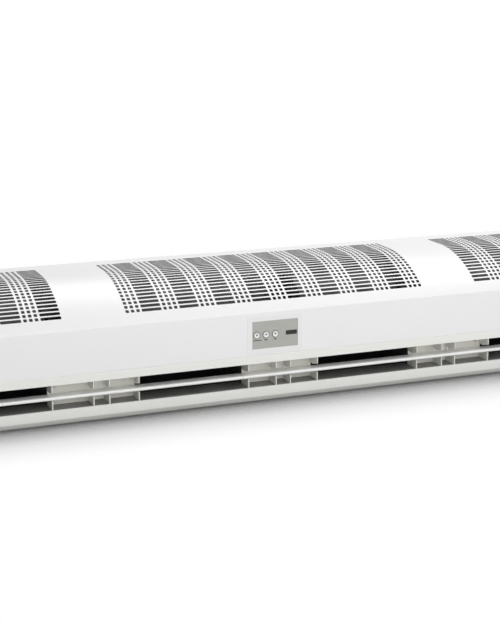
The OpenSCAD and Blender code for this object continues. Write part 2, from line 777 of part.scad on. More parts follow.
module scroll_screws() in_frame() color([0.75, 0.75, 0.77]) for (p = scroll_screw_places())
    translate([p[0], p[1], sheet_t + scroll_t]) screw(sheet_t + scroll_t);

module capacitor(side) in_frame() color([0.86, 0.86, 0.84]) {
    size = capacitor_size;
    block([side * motor_x - size[0] / 2, capacitor_d - size[1] / 2, sheet_t],
        [side * motor_x + size[0] / 2, capacitor_d + size[1] / 2, sheet_t + size[2]]);
    for (s = [-1, 1]) block([side * motor_x + s * 12 - 3, capacitor_d - 0.4, sheet_t + size[2] - eps],
        [side * motor_x + s * 12 + 3, capacitor_d + 0.4, sheet_t + size[2] + 8]);
}

// Strap that goes over the capacitor between its tags, with a foot at each side
module capacitor_clip(side) in_frame() color([0.7, 0.7, 0.72])
    translate([side * motor_x, capacitor_d, sheet_t]) {
        half = capacitor_size[1] / 2 + 0.1;
        top = capacitor_size[2] + 0.1;
        difference() {
            block([-5, -half - clip_t, 0], [5, half + clip_t, top + clip_t]);
            block([-6, -half, -cut], [6, half, top]);
        }
        for (s = [0, 1]) mirror([0, s, 0]) block([-5, half, 0], [5, half + 5, clip_t]);
    }

// ---- control panel ------------------------------------------------------------------------

module panel_rect(margin, y0, y1) block(
    [plate_x - plate_w / 2 - margin, y0, plate_z - plate_h / 2 - margin],
    [plate_x + plate_w / 2 + margin, y1, plate_z + plate_h / 2 + margin]);

// Border: its rim lies on the face and its collar goes through the cover
module panel_border() in_frame() color([0.92, 0.92, 0.91]) difference() {
    union() {
        panel_rect(border_w, -border_proud, -eps);
        panel_rect(border_w / 2 - seam, -border_proud, border_back);
    }
    panel_rect(panel_gap, -border_proud - cut, plate_face + plate_t);
    panel_rect(-ledge_w, -cut, border_back + cut);
}

module panel_plate() in_frame() color([0.67, 0.68, 0.66]) difference() {
    panel_rect(0, plate_face, plate_face + plate_t);
    for (i = [0 : 2]) rod_y([button_x(i), 0, plate_z], button_r + button_gap, plate_t + 2 * cut);
    block([plate_x + window_x - window_w / 2, 0, plate_z - window_h / 2],
        [plate_x + window_x + window_w / 2, plate_t + 2 * cut, plate_z + window_h / 2]);
}

module receiver_window() in_frame() color([0.15, 0.1, 0.1])
    block([plate_x + window_x - window_w / 2 + 0.1, plate_face, plate_z - window_h / 2 + 0.1],
        [plate_x + window_x + window_w / 2 - 0.1, plate_face + plate_t, plate_z + window_h / 2 - 0.1]);

module button(i) in_frame() color([0.95, 0.95, 0.95]) {
    back = plate_face + plate_t + panel_gap;
    rod_y([button_x(i), plate_face - button_proud, plate_z], button_r, button_proud - plate_face + back);
    rod_y([button_x(i), back, plate_z], button_r + button_flange, button_flange_t);
    rod_y([button_x(i), back, plate_z], stem_r, board_d - switch_h - button_travel - 0.1 - back);
}

// Box behind the panel, open to the front, with posts for the board
module control_box() in_frame() color([0.2, 0.2, 0.21]) {
    low = [plate_x - box_w / 2, sheet_t + seam, plate_z - box_h / 2];
    high = [plate_x + box_w / 2, box_d, plate_z + box_h / 2];
    difference() {
        block(low, high);
        block([low[0] + box_t, -cut, low[2] + box_t], [high[0] - box_t, high[1] - box_t, high[2] - box_t]);
        panel_rect(border_w / 2, -cut, border_back + seam);
    }
    for (p = board_posts()) difference() {
        rod_y([p[0], board_d + board_t, p[1]], post_r, box_d - box_t - board_d - board_t + eps);
        rod_y([p[0], board_d, p[1]], screw_r * 0.6, 8);
    }
}

function board_posts() = [for (x = [-1, 1]) for (z = [-1, 1])
    [plate_x + x * (box_w / 2 - 8), plate_z + z * (box_h / 2 - 8)]];

module control_board() in_frame() color([0.1, 0.35, 0.2]) {
    difference() {
        block([plate_x - box_w / 2 + box_t + 1, board_d, plate_z - box_h / 2 + box_t + 1],
            [plate_x + box_w / 2 - box_t - 1, board_d + board_t, plate_z + box_h / 2 - box_t - 1]);
        for (p = board_posts()) rod_y([p[0], board_d - cut, p[1]], screw_r * 0.6 + 0.1, board_t + 2 * cut);
    }
    for (i = [0 : 2]) block([button_x(i) - switch_w / 2, board_d - switch_h, plate_z - switch_w / 2],
        [button_x(i) + switch_w / 2, board_d + eps, plate_z + switch_w / 2]);
    block([plate_x + window_x - 4, board_d - 6, plate_z - 4],
        [plate_x + window_x + 4, board_d + eps, plate_z + 4]);
}

module board_screws() in_frame() color([0.75, 0.75, 0.77]) for (p = board_posts())
    translate([p[0], board_d, p[1]]) rotate([90, 0, 0]) scale(0.6) screw(10);

// ---- supply -------------------------------------------------------------------------------

module terminal_block() in_frame() color([0.9, 0.9, 0.88])
    translate([terminal_x - terminal_size[0] / 2, terminal_d, sheet_t]) {
        way_w = terminal_size[0] / ways;
        difference() {
            cube([terminal_size[0], terminal_size[1], terminal_size[2] * 0.6]);
            for (i = [0 : ways - 1])
                rod_z([(i + 0.5) * way_w, terminal_size[1] / 2, 4], 2.4, terminal_size[2]);
        }
        for (i = [0 : ways]) translate([max(0, min(i * way_w - 0.8, terminal_size[0] - 1.6)), 0, 0])
            cube([1.6, terminal_size[1], terminal_size[2]]);
    }

module terminal_screws() in_frame() color([0.75, 0.6, 0.3]) for (i = [0 : ways - 1])
    translate([terminal_x + (i + 0.5 - ways / 2) * terminal_size[0] / ways,
        terminal_d + terminal_size[1] / 2, sheet_t + 4]) difference() {
            cylinder(r = 2.4 - hub_play, h = 5);
            translate([-3, -0.4, 4]) cube([6, 0.8, 2]);
        }

module inlet_grommet() in_frame() color([0.1, 0.1, 0.1])
    translate([grommet_x, tray_rear - sheet_t / 2, grommet_z]) rotate([-90, 0, 0]) difference() {
        union() {
            translate([0, 0, -sheet_t / 2 - 2.5]) cylinder(r = grommet_r, h = 2.5);
            translate([0, 0, -sheet_t / 2 - eps]) cylinder(r = grommet_r - 1.5, h = sheet_t + 2 * eps);
            translate([0, 0, sheet_t / 2]) cylinder(r = grommet_r, h = sheet_t + seam);
        }
        translate([0, 0, -10]) cylinder(r = inlet_bore_r, h = 20);
    }

// ---- fasteners ----------------------------------------------------------------------------

module cover_screws() in_frame() color([0.8, 0.8, 0.82]) for (x = cover_screw_x)
    translate([x, casing_d, cover_screw_z]) rotate([-90, 0, 0]) screw(sheet_t * 3);

module cap_screws() in_frame() color([0.8, 0.8, 0.82])
    for (s = [0, 1]) mirror([s, 0, 0]) for (p = cap_screw_at)
        translate([casing_l / 2, p[0], p[1]]) rotate([0, 90, 0]) screw(cap_t + 2 * sheet_t);

module filler_screws() in_frame() color([0.75, 0.75, 0.77]) for (span = [fillers[0], fillers[5]])
    translate([filler_screw_x(span), filler_recess, filler_screw_z]) rotate([90, 0, 0]) screw(rib_t);

back_tray();
front_cover();
end_cap_left();
end_cap_right();
outlet_frame();
filler(fillers[0]);  // filler_1
filler(fillers[1]);  // filler_2
filler(fillers[2]);  // filler_3
filler(fillers[3]);  // filler_4
filler(fillers[4]);  // filler_5
filler(fillers[5]);  // filler_6
guide_vane();
vane_bush(1);  // vane_bush_left
vane_bush(0);  // vane_bush_right
scroll(scroll_x[0]);  // scroll_1
scroll(scroll_x[1]);  // scroll_2
scroll(scroll_x[2]);  // scroll_3
scroll(scroll_x[3]);  // scroll_4
wheel(wheel_x(0));  // wheel_1
wheel(wheel_x(1));  // wheel_2
wheel(wheel_x(2));  // wheel_3
wheel(wheel_x(3));  // wheel_4
shaft(-1);  // shaft_1
shaft(1);  // shaft_2
set_screws(0);  // set_screws_1
set_screws(2);  // set_screws_2
motor(-1);  // motor_1
motor(1);  // motor_2
motor_rings(-1);  // motor_rings_1
motor_rings(1);  // motor_rings_2
motor_cradle(-1);  // motor_cradle_1
motor_cradle(1);  // motor_cradle_2
motor_bolts();
capacitor(-1);  // capacitor_1
capacitor(1);  // capacitor_2
capacitor_clip(-1);  // capacitor_clip_1
capacitor_clip(1);  // capacitor_clip_2
panel_border();
panel_plate();
receiver_window();
button(0);  // button_1
button(1);  // button_2
button(2);  // button_3
control_box();
control_board();
board_screws();
terminal_block();
terminal_screws();
inlet_grommet();
cover_screws();
cap_screws();
filler_screws();
scroll_screws();
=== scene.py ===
"""Air curtain lying on its wall side on a pale studio floor.

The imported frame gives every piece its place. This script dresses it: the slotted cover is made by
Geometry Nodes, the visible mouldings get their rounded edges, and each finish is a node material.
Lengths are in metres, depth is measured from the outlet front, and angles are in degrees.
"""
import json
import math

import bmesh
import bpy
from mathutils import Matrix, Vector


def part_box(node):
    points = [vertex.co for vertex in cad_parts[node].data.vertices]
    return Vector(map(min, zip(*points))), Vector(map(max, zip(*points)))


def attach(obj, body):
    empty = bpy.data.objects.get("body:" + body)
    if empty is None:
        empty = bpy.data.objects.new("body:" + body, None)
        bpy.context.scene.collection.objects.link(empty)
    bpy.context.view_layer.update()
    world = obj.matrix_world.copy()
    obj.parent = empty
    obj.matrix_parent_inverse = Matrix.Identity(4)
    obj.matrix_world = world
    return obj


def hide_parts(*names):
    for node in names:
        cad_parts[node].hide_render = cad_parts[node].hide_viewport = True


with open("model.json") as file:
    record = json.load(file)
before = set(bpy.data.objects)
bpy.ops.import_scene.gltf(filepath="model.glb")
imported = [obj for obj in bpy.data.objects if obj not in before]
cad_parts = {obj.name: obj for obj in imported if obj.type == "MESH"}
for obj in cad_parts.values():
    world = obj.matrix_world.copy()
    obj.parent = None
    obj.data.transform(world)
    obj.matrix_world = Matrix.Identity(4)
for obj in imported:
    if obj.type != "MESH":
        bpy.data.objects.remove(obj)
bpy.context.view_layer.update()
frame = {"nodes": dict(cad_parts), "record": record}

MM = 0.001
CAD = frame["nodes"]
SLOT_OF = {s["node"]: s["material_slot"] for s in frame["record"]["subparts"]}
BODY_OF = {n: b for b, names in frame["record"]["behaviour"]["bodies"].items() for n in names}

# ---- sizes of the casing, from the frame where it has them -----------------------------------

cover_low, cover_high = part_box("front_cover")
FRONT = cover_low.y                      # plane of the vertical face
COVER_TOP = cover_high.z
COVER_REAR = cover_high.y
COVER_L = cover_high.x - cover_low.x
SHEET_T = 0.8 * MM
FACE_BOTTOM = 80 * MM
CURVE_R = 198 * MM                       # shoulder next to the crease
CURVE_WIDENING = 4 * MM                  # the shoulder's radius is this much more next to the flat
CURVE_RUN = 143 * MM                     # depth of the whole shoulder
SEAM_SINE = 0.28                         # where the two arcs of the shoulder meet
CREASE_R = 3 * MM
REAR_R = 4 * MM
FOLD_R = 1.3 * MM
FOLD_IN = 14 * MM                        # depth of the fold over the outlet
REAR_FLANGE = 16 * MM
WINDOW_MARGIN = 4.5 * MM                 # of the panel's border over the edge of its opening

GRILLE = {
    "Rows": 21,
    "Row Pitch": 8.8 * MM,
    "Row Start": 26 * MM,
    "Slot Height": 6.0 * MM,
    "Short Width": 5.6 * MM,
    "Long Width": 33 * MM,
    "Bridge": 3.4 * MM,
    "Short Count": 3,
    "Middle Longs": 8,
    "End Longs": 3,
    "End Field Start": 370 * MM,
    "Corner Radius": 1.5 * MM,
    "Length Steps": 60,
}
FOLD_STEPS = 5                           # parts into which the plain strips of the sheet are cut
CREASE_STEPS = 6
SHOULDER_STEPS = 4
FLAT_STEPS = 2
REAR_STEPS = 6

WELD = 0.002 * MM                        # points of a solid that are closer than this become one
COPLANAR = 0.5                           # faces that meet at less than this angle become one
EDGE_STEPS = 2                           # faces across a rounded edge
EDGE_ANGLE = 40                          # edges sharper than this are rounded


# ---- node helpers ----------------------------------------------------------------------------

def add_node(tree, kind, inputs=None, **settings):
    """Adds a node, applies its settings, and sets or links its inputs by name or number."""
    made = tree.nodes.new(kind)
    for key, value in settings.items():
        setattr(made, key, value)
    for key, value in (inputs or {}).items():
        if isinstance(value, bpy.types.NodeSocket):
            tree.links.new(value, made.inputs[key])
        else:
            made.inputs[key].default_value = value
    return made


def calc(tree, operation, a, b=0.0, c=0.0):
    """Math node on sockets or numbers; returns its value socket."""
    made = add_node(tree, "ShaderNodeMath", {0: a, 1: b, 2: c}, operation=operation)
    return made.outputs[0]


def vector(tree, x=0.0, y=0.0, z=0.0):
    """Vector of sockets or numbers; returns its socket."""
    return add_node(tree, "ShaderNodeCombineXYZ", {0: x, 1: y, 2: z}).outputs[0]


def new_object(name, data):
    made = bpy.data.objects.new(name, data)
    bpy.context.scene.collection.objects.link(made)
    return made


def settle(piece):
    """Turns a piece's modifiers into plain mesh and takes them off."""
    bpy.context.view_layer.update()
    graph = bpy.context.evaluated_depsgraph_get()
    mesh = bpy.data.meshes.new_from_object(piece.evaluated_get(graph))
    old = piece.data
    piece.modifiers.clear()
    piece.data = mesh
    bpy.data.meshes.remove(old)
    return piece


def soften(piece, angle=35):
    """Smooth shading in which large flats stay flat, with sharp edges above the angle."""
    piece.data.shade_smooth()
    piece.data.set_sharp_from_angle(angle=math.radians(angle))
    even = piece.modifiers.new("flats", "WEIGHTED_NORMAL")
    even.keep_sharp = True
    even.weight = 50
    return settle(piece)


def round_edges(piece, width):
    """Rounds the piece's sharp edges by a bevel and settles it."""
    bevel = piece.modifiers.new("edges", "BEVEL")
    bevel.width = width
    bevel.segments = EDGE_STEPS
    bevel.limit_method = "ANGLE"
    bevel.angle_limit = math.radians(EDGE_ANGLE)
    bevel.harden_normals = False
    bevel.use_clamp_overlap = True
    return soften(settle(piece))


# ---- shader groups ---------------------------------------------------------------------------

def shader_group(name, inputs, outputs):
    """Empty shader group with float inputs, a Vector input and the named outputs."""
    tree = bpy.data.node_groups.new(name, "ShaderNodeTree")
    tree.interface.new_socket("Vector", in_out="INPUT", socket_type="NodeSocketVector")
    for key, value in inputs.items():
        made = tree.interface.new_socket(key, in_out="INPUT", socket_type="NodeSocketFloat")
        made.default_value = value
    for key in outputs:
        tree.interface.new_socket(key, in_out="OUTPUT", socket_type="NodeSocketFloat")
    return tree, tree.nodes.new("NodeGroupInput").outputs, tree.nodes.new("NodeGroupOutput").inputs


def skin_group(name, inputs):
    """Empty group of a skin, which puts out a tone, a drift of the gloss and a height."""
    return shader_group(name, inputs, ["Tone", "Gloss Drift", "Height"])


def feed_skin(tree, out, tone, gloss, height):
    """Links a skin's outputs: the tone drifts about 1 and the gloss about 0."""
    tree.links.new(calc(tree, "ADD", 1.0, tone), out["Tone"])
    tree.links.new(gloss, out["Gloss Drift"])
    tree.links.new(height, out["Height"])
    return tree


def noise(tree, place, scale, detail, roughness=0.5):
    """Noise of 0 to 1 at a place."""
    return add_node(tree, "ShaderNodeTexNoise", {
        "Vector": place, "Scale": scale, "Detail": detail, "Roughness": roughness,
    }).outputs[0]


def drift(tree, value, spread):
    """Turns a value of 0 to 1 into a drift about 0 with this spread."""
    return calc(tree, "MULTIPLY", calc(tree, "SUBTRACT", value, 0.5), spread)


def paint_skin():
    """Powder coat: a fine orange-peel height and a slow drift of tone and gloss."""
    tree, given, out = skin_group("Powder Coat Skin", {
        "Peel Scale": 900.0, "Drift Scale": 7.0, "Tone Spread": 0.02, "Gloss Spread": 0.12,
    })
    peel = noise(tree, given["Vector"], given["Peel Scale"], 2.0)
    slow = noise(tree, given["Vector"], given["Drift Scale"], 3.0, 0.6)
    tone = drift(tree, slow, given["Tone Spread"])
    return feed_skin(tree, out, tone, drift(tree, slow, given["Gloss Spread"]), peel)


def zinc_skin():
    """Galvanised sheet: flat crystals of different tone, with soft waves from the mill."""
    tree, given, out = skin_group("Zinc Spangle", {
        "Crystal Scale": 90.0, "Wave Scale": 12.0,
        "Crystal Spread": 0.25, "Wave Spread": 0.12, "Gloss Spread": 0.25,
    })
    crystals = add_node(tree, "ShaderNodeTexVoronoi", {
        "Vector": given["Vector"], "Scale": given["Crystal Scale"], "Randomness": 1.0,
    })
    shades = add_node(tree, "ShaderNodeSeparateColor", {0: crystals.outputs["Color"]}).outputs
    waves = noise(tree, given["Vector"], given["Wave Scale"], 4.0)
    crystal_tone = drift(tree, shades[0], given["Crystal Spread"])
    wave_tone = drift(tree, waves, given["Wave Spread"])
    tone = calc(tree, "ADD", crystal_tone, wave_tone)
    return feed_skin(tree, out, tone, drift(tree, shades[1], given["Gloss Spread"]), waves)


def rolled_skin():
    """Turned or rolled metal: streaks drawn out along one direction."""
    tree, given, out = skin_group("Rolled Metal Streaks", {
        "Streak Scale": 500.0, "Stretch": 0.03, "Tone Spread": 0.25, "Gloss Spread": 0.3,
    })
    along = add_node(tree, "ShaderNodeVectorMath", {
        0: given["Vector"], 1: vector(tree, given["Stretch"], 1.0, 1.0),
    }, operation="MULTIPLY")
    streaks = noise(tree, along.outputs[0], given["Streak Scale"], 3.0)
    tone = drift(tree, streaks, given["Tone Spread"])
    return feed_skin(tree, out, tone, drift(tree, streaks, given["Gloss Spread"]), streaks)


def moulded_skin():
    """Moulded plastic or rubber: a fine spark-eroded grain."""
    tree, given, out = skin_group("Moulded Grain", {
        "Grain Scale": 1800.0, "Drift Scale": 25.0, "Tone Spread": 0.03, "Gloss Spread": 0.15,
    })
    grain = noise(tree, given["Vector"], given["Grain Scale"], 2.0, 0.6)
    slow = noise(tree, given["Vector"], given["Drift Scale"], 2.0)
    tone = drift(tree, slow, given["Tone Spread"])
    return feed_skin(tree, out, tone, drift(tree, slow, given["Gloss Spread"]), grain)


def throat_shade_group():
    """1 between two heights behind the outlet's front edges, where the floor is darkened as painted
    shade.
    """
    tree, given, out = shader_group("Bare Behind Edge", {
        "Edge Depth": 0.0, "Fade": 0.5 * MM, "Low": 0.0, "High": 1.0,
    }, ["Bare"])
    place = add_node(tree, "ShaderNodeSeparateXYZ", {0: given["Vector"]})
    depth = add_node(tree, "ShaderNodeMapRange", {
        "Value": place.outputs[1],
        "From Min": given["Edge Depth"],
        "From Max": calc(tree, "ADD", given["Edge Depth"], given["Fade"]),
    })
    above = calc(tree, "GREATER_THAN", place.outputs[2], given["Low"])
    below = calc(tree, "LESS_THAN", place.outputs[2], given["High"])
    within = calc(tree, "MULTIPLY", above, below)
    tree.links.new(calc(tree, "MULTIPLY", within, depth.outputs["Result"]), out["Bare"])
    return tree


SKINS = {
    "paint": paint_skin(),
    "zinc": zinc_skin(),
    "rolled": rolled_skin(),
    "moulded": moulded_skin(),
}


# ---- finishes --------------------------------------------------------------------------------

def finish(name, skin, colour, roughness, relief, metallic=0.0):
    """Material of one skin: its tone varies the colour, its drift the gloss, its height the relief."""
    material = bpy.data.materials.new(name)
    material.use_nodes = True
    tree = material.node_tree
    shader = tree.nodes["Principled BSDF"]
    shader.inputs["Metallic"].default_value = metallic
    place = add_node(tree, "ShaderNodeTexCoord")
    group = add_node(tree, "ShaderNodeGroup", {"Vector": place.outputs["Object"]}, node_tree=SKINS[skin])
    tint = add_node(tree, "ShaderNodeVectorMath", {
        0: colour, "Scale": group.outputs["Tone"],
    }, operation="SCALE")
    tree.links.new(tint.outputs[0], shader.inputs["Base Color"])
    gloss = calc(tree, "ADD", group.outputs["Gloss Drift"], roughness)
    tree.links.new(gloss, shader.inputs["Roughness"])
    bump = add_node(tree, "ShaderNodeBump", {
        "Strength": 1.0, "Distance": relief, "Height": group.outputs["Height"],
    })
    tree.links.new(bump.outputs[0], shader.inputs["Normal"])
    return material


def paint_throat_shade(material):
    """Darkens the colour of the throat's floor behind the outlet's front edges, as painted shade."""
    tree = material.node_tree
    shader = tree.nodes["Principled BSDF"]
    painted = shader.inputs["Base Color"].links[0].from_socket
    place = add_node(tree, "ShaderNodeTexCoord")
    group = add_node(tree, "ShaderNodeGroup", {
        "Vector": place.outputs["Object"], **THROAT_SHADE_SPAN,
    }, node_tree=throat_shade_group())
    mix = add_node(tree, "ShaderNodeMix", {
        0: group.outputs["Bare"], MIX_FIRST: painted, MIX_SECOND: THROAT_PAINTED_SHADE,
    }, data_type="RGBA")
    tree.links.new(mix.outputs[MIX_COLOUR], shader.inputs["Base Color"])
    return material


MIX_FIRST, MIX_SECOND, MIX_COLOUR = 6, 7, 2   # colour inputs and colour output of a Mix node
# Painted shade: the dark colour of the outlet's floor behind its front edge, and the heights of that
# floor.
THROAT_PAINTED_SHADE = (0.19, 0.19, 0.18, 1.0)
THROAT_SHADE_SPAN = {"Edge Depth": FRONT + 1.5 * MM, "Low": 25.5 * MM, "High": 27.0 * MM}

# Name, skin, colour, roughness and relief in metres.
FINISH = {
    "white_paint": finish("White powder coat", "paint", (0.83, 0.83, 0.83), 0.34, 0.00002),
    "outlet_enamel": paint_throat_shade(
        finish("Outlet enamel", "paint", (0.81, 0.815, 0.78), 0.38, 0.00002)
    ),
    "vane_white": finish("White vane enamel", "paint", (0.86, 0.865, 0.85), 0.3, 0.00001),
    "filler_enamel": finish("Filler enamel", "paint", (0.69, 0.68, 0.63), 0.42, 0.00002),
    "cap_white": finish("White moulded cap", "moulded", (0.80, 0.80, 0.80), 0.45, 0.00002),
    "galvanised": finish("Galvanised sheet", "zinc", (0.22, 0.22, 0.22), 0.5, 0.00003, metallic=0.6),
    "tray_zinc": finish("Galvanised tray", "zinc", (0.42, 0.43, 0.44), 0.42, 0.00003, metallic=0.6),
    # painted shade: near-black zinc on the scrolls, the cover's inner side and its cut edges, deep
    # behind the slots
    "painted_shade_zinc": finish("Zinc sheet with painted shade", "zinc", (0.07, 0.07, 0.07), 0.5, 0.00003, metallic=0.6),
    "wheel_metal": finish("Mill aluminium", "rolled", (0.55, 0.56, 0.57), 0.4, 0.00002, metallic=0.9),
    "steel": finish("Bright steel", "rolled", (0.5, 0.5, 0.52), 0.32, 0.00002, metallic=1.0),
    "dark_steel": finish("Blackened steel", "rolled", (0.05, 0.05, 0.055), 0.45, 0.00002, metallic=1.0),
    "motor_paint": finish("Black motor paint", "paint", (0.02, 0.02, 0.022), 0.4, 0.00003),
    "rubber_black": finish("Black rubber", "moulded", (0.015, 0.015, 0.015), 0.75, 0.00005),
    "nylon_dark": finish("Dark nylon", "moulded", (0.02, 0.02, 0.02), 0.5, 0.00003),
    "plate_grey": finish("Grey panel plastic", "moulded", (0.40, 0.405, 0.375), 0.5, 0.00002),
    "button_white": finish("White button plastic", "moulded", (0.80, 0.80, 0.80), 0.3, 0.00001),
    "window_dark": finish("Dark receiver window", "moulded", (0.018, 0.011, 0.009), 0.12, 0.000005),
    "cream_plastic": finish("Cream plastic", "moulded", (0.7, 0.68, 0.6), 0.5, 0.00002),
    "board_green": finish("Lacquered board", "moulded", (0.01, 0.1, 0.04), 0.35, 0.00001),
    "screw_zinc": finish("Zinc plated screw", "rolled", (0.6, 0.6, 0.61), 0.3, 0.00001, metallic=1.0),
    "brass_screw": finish("Brass screw", "rolled", (0.6, 0.42, 0.15), 0.3, 0.00001, metallic=1.0),
    # painted shade of the gaps round the buttons
    "gap_shade_grey": finish("Painted gap shade", "moulded", (0.09, 0.09, 0.085), 0.5, 0.00001),
    # print for the marks, and painted shade in the button dimples
    "print_and_dimple_shade": finish("Dark print and painted dimple shade", "moulded", (0.05, 0.05, 0.05), 0.6, 0.00001),
}
OWN_FINISH = {                           # of refined nodes, where the slot's finish isn't meant
    "outlet_frame": "outlet_enamel",
    "guide_vane": "vane_white",
    **{f"filler_{number}": "filler_enamel" for number in range(1, 7)},
}
NODE_FINISH = {                          # the same for nodes that keep their CAD solid
    "back_tray": "tray_zinc",
    **{f"scroll_{number}": "painted_shade_zinc" for number in range(1, 5)},
}


def dress(piece, slot, body, *stands_for):
    """Gives a finished piece its material and its body, and hides the nodes that it stands for."""
    if not piece.data.materials:
        piece.data.materials.append(FINISH[slot])
    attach(piece, body)
    if stands_for:
        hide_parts(*stands_for)
    return piece


# ---- geometry trees --------------------------------------------------------------------------

def geometry_tree(name, sizes, on_points=False):
    """Geometry tree with an input for each size and for the finish, and one for points if asked."""
    tree = bpy.data.node_groups.new(name, "GeometryNodeTree")
    tree.is_modifier = True
    if on_points:
        tree.interface.new_socket("Geometry", in_out="INPUT", socket_type="NodeSocketGeometry")
    for key, value in sizes.items():
        kind = "NodeSocketInt" if isinstance(value, int) else "NodeSocketFloat"
        tree.interface.new_socket(key, in_out="INPUT", socket_type=kind).default_value = value
    tree.interface.new_socket("Finish", in_out="INPUT", socket_type="NodeSocketMaterial")
    tree.interface.new_socket("Geometry", in_out="OUTPUT", socket_type="NodeSocketGeometry")
    return tree, tree.nodes.new("NodeGroupInput").outputs


def close_tree(tree, given, shape):
    """Ends a geometry tree in plain mesh that wears the given finish."""
    solid = add_node(tree, "GeometryNodeRealizeInstances", {"Geometry": shape})
    coated = add_node(tree, "GeometryNodeSetMaterial", {
        "Geometry": solid.outputs[0], "Material": given["Finish"],
    })
    tree.links.new(coated.outputs[0], tree.nodes.new("NodeGroupOutput").inputs[0])
    return tree


def grow(piece, tree, inputs):
    """Makes a piece's mesh by a geometry tree, whose inputs are set by their identifiers."""
    made = piece.modifiers.new("tree", "NODES")
    made.node_group = tree
    identifiers = {s.name: s.identifier for s in tree.interface.items_tree if s.in_out == "INPUT"}
    for name, value in inputs.items():
        made[identifiers[name]] = value
    return settle(piece)


def join(tree, *parts):
    made = tree.nodes.new("GeometryNodeJoinGeometry")
    for part in parts:
        tree.links.new(part, made.inputs[0])
    return made.outputs[0]


def moved(tree, shape, x=0.0, y=0.0, z=0.0):
    """The shape, moved by these lengths."""
    return add_node(tree, "GeometryNodeTransform", {
        "Geometry": shape, "Translation": vector(tree, x, y, z),
    }).outputs[0]


def mirrored(tree, points):
    """The points with their mirror images in X = 0."""
    turned = add_node(tree, "GeometryNodeTransform", {"Geometry": points, "Rotation": (0, 0, math.pi)})
    return join(tree, points, turned.outputs[0])


def rectangle(tree, width, height):
    """Outline of a rectangle round the origin."""
    return add_node(tree, "GeometryNodeCurvePrimitiveQuadrilateral", {
        "Width": width, "Height": height,
    }).outputs[0]


def rounded_slot(tree, width, height, radius):
    """Outline of a slot with rounded corners."""
    return add_node(tree, "GeometryNodeFilletCurve", {
        "Curve": rectangle(tree, width, height), "Radius": radius, "Limit Radius": True, "Count": 3,
    }, mode="POLY").outputs[0]


def filled(tree, *outlines):
    """Flat sheet inside the first outline, open at the outlines within it."""
    loops = add_node(tree, "GeometryNodeRealizeInstances", {"Geometry": join(tree, *outlines)})
    sheet = add_node(tree, "GeometryNodeFillCurve", {"Curve": loops.outputs[0]}, mode="TRIANGLES")
    return sheet.outputs[0]


# ---- the slotted cover -----------------------------------------------------------------------

def cover_path():
    """Stretches of the cover's outer surface: length, first and last direction of travel.

    The path starts at the inner end of the fold over the outlet and ends at the rear flange.
    Returns the stretches and the length from the start to the crease.
    """
    wide_r = CURVE_R + CURVE_WIDENING
    tight_depth = CURVE_RUN - CURVE_WIDENING * SEAM_SINE
    seam = math.asin(SEAM_SINE)
    crease = math.asin(tight_depth / CURVE_R)
    tight_height = COVER_TOP - wide_r + CURVE_WIDENING * math.cos(seam)
    crease_z = tight_height + CURVE_R * math.cos(crease)
    trim = CREASE_R * math.tan((math.pi / 2 - crease) / 2)
    arc_start = crease - trim / CURVE_R
    first, middle = math.degrees(arc_start), math.degrees(seam)
    stretches = [
        (FOLD_IN - FOLD_R, 180, 180),
        (FOLD_R * math.pi / 2, 180, 90),
        (crease_z - trim - FACE_BOTTOM - FOLD_R, 90, 90),
        (CREASE_R * (math.pi / 2 - arc_start), 90, first),
        (CURVE_R * (arc_start - seam), first, middle),
        (wide_r * seam, middle, 0),
        (COVER_REAR - FRONT - CURVE_RUN - REAR_R, 0, 0),
        (REAR_R * math.pi / 2, 0, -90),
        (REAR_FLANGE - REAR_R, -90, -90),
    ]
    return stretches, sum(stretch[0] for stretch in stretches[:4]) - trim


def bend_sheet(tree, along, stretches):
    """Depth and height of a point that lies this far along the sheet, as two sockets."""
    depth, height = FOLD_IN, FACE_BOTTOM
    start = 0.0
    for length, first, last in stretches:
        a0, a1 = math.radians(first), math.radians(last)
        past = calc(tree, "MAXIMUM", calc(tree, "SUBTRACT", along, start), 0.0)
        step = calc(tree, "MINIMUM", past, length)
        if first == last:
            forward = calc(tree, "MULTIPLY", step, math.cos(a0))
            upward = calc(tree, "MULTIPLY", step, math.sin(a0))
        else:
            turn = (a0 - a1) / length
            angle = calc(tree, "SUBTRACT", a0, calc(tree, "MULTIPLY", step, turn))
            sine, cosine = calc(tree, "SINE", angle), calc(tree, "COSINE", angle)
            forward = calc(tree, "DIVIDE", calc(tree, "SUBTRACT", math.sin(a0), sine), turn)
            upward = calc(tree, "DIVIDE", calc(tree, "SUBTRACT", cosine, math.cos(a0)), turn)
        depth = calc(tree, "ADD", depth, forward)
        height = calc(tree, "ADD", height, upward)
        start += length
    return depth, height


def strip(tree, given, start, end, steps):
    """Plain strip across the whole length, cut into steps along the sheet."""
    size = calc(tree, "SUBTRACT", end, start)
    middle = calc(tree, "MULTIPLY", calc(tree, "ADD", end, start), 0.5)
    across = calc(tree, "ADD", given["Length Steps"], 1.0)
    grid = add_node(tree, "GeometryNodeMeshGrid", {
        "Size X": given["Length"], "Size Y": size, "Vertices X": across, "Vertices Y": steps + 1,
    })
    return moved(tree, grid.outputs[0], y=middle)


def border_of(tree, sheet):
    """Edge of a flat sheet as a closed curve."""
    sides = add_node(tree, "GeometryNodeInputMeshEdgeNeighbors")
    outer = calc(tree, "LESS_THAN", sides.outputs[0], 1.5)
    return add_node(tree, "GeometryNodeMeshToCurve", {"Mesh": sheet, "Selection": outer}).outputs[0]


def slot_places(tree, count, x_of_index):
    """Points in a line along X, each at the place that its index gives."""
    line = add_node(tree, "GeometryNodeMeshLine", {"Count": count}, mode="OFFSET")
    index = add_node(tree, "GeometryNodeInputIndex").outputs[0]
    return add_node(tree, "GeometryNodeSetPosition", {
        "Geometry": line.outputs[0], "Position": vector(tree, x_of_index(index)),
    }).outputs[0]


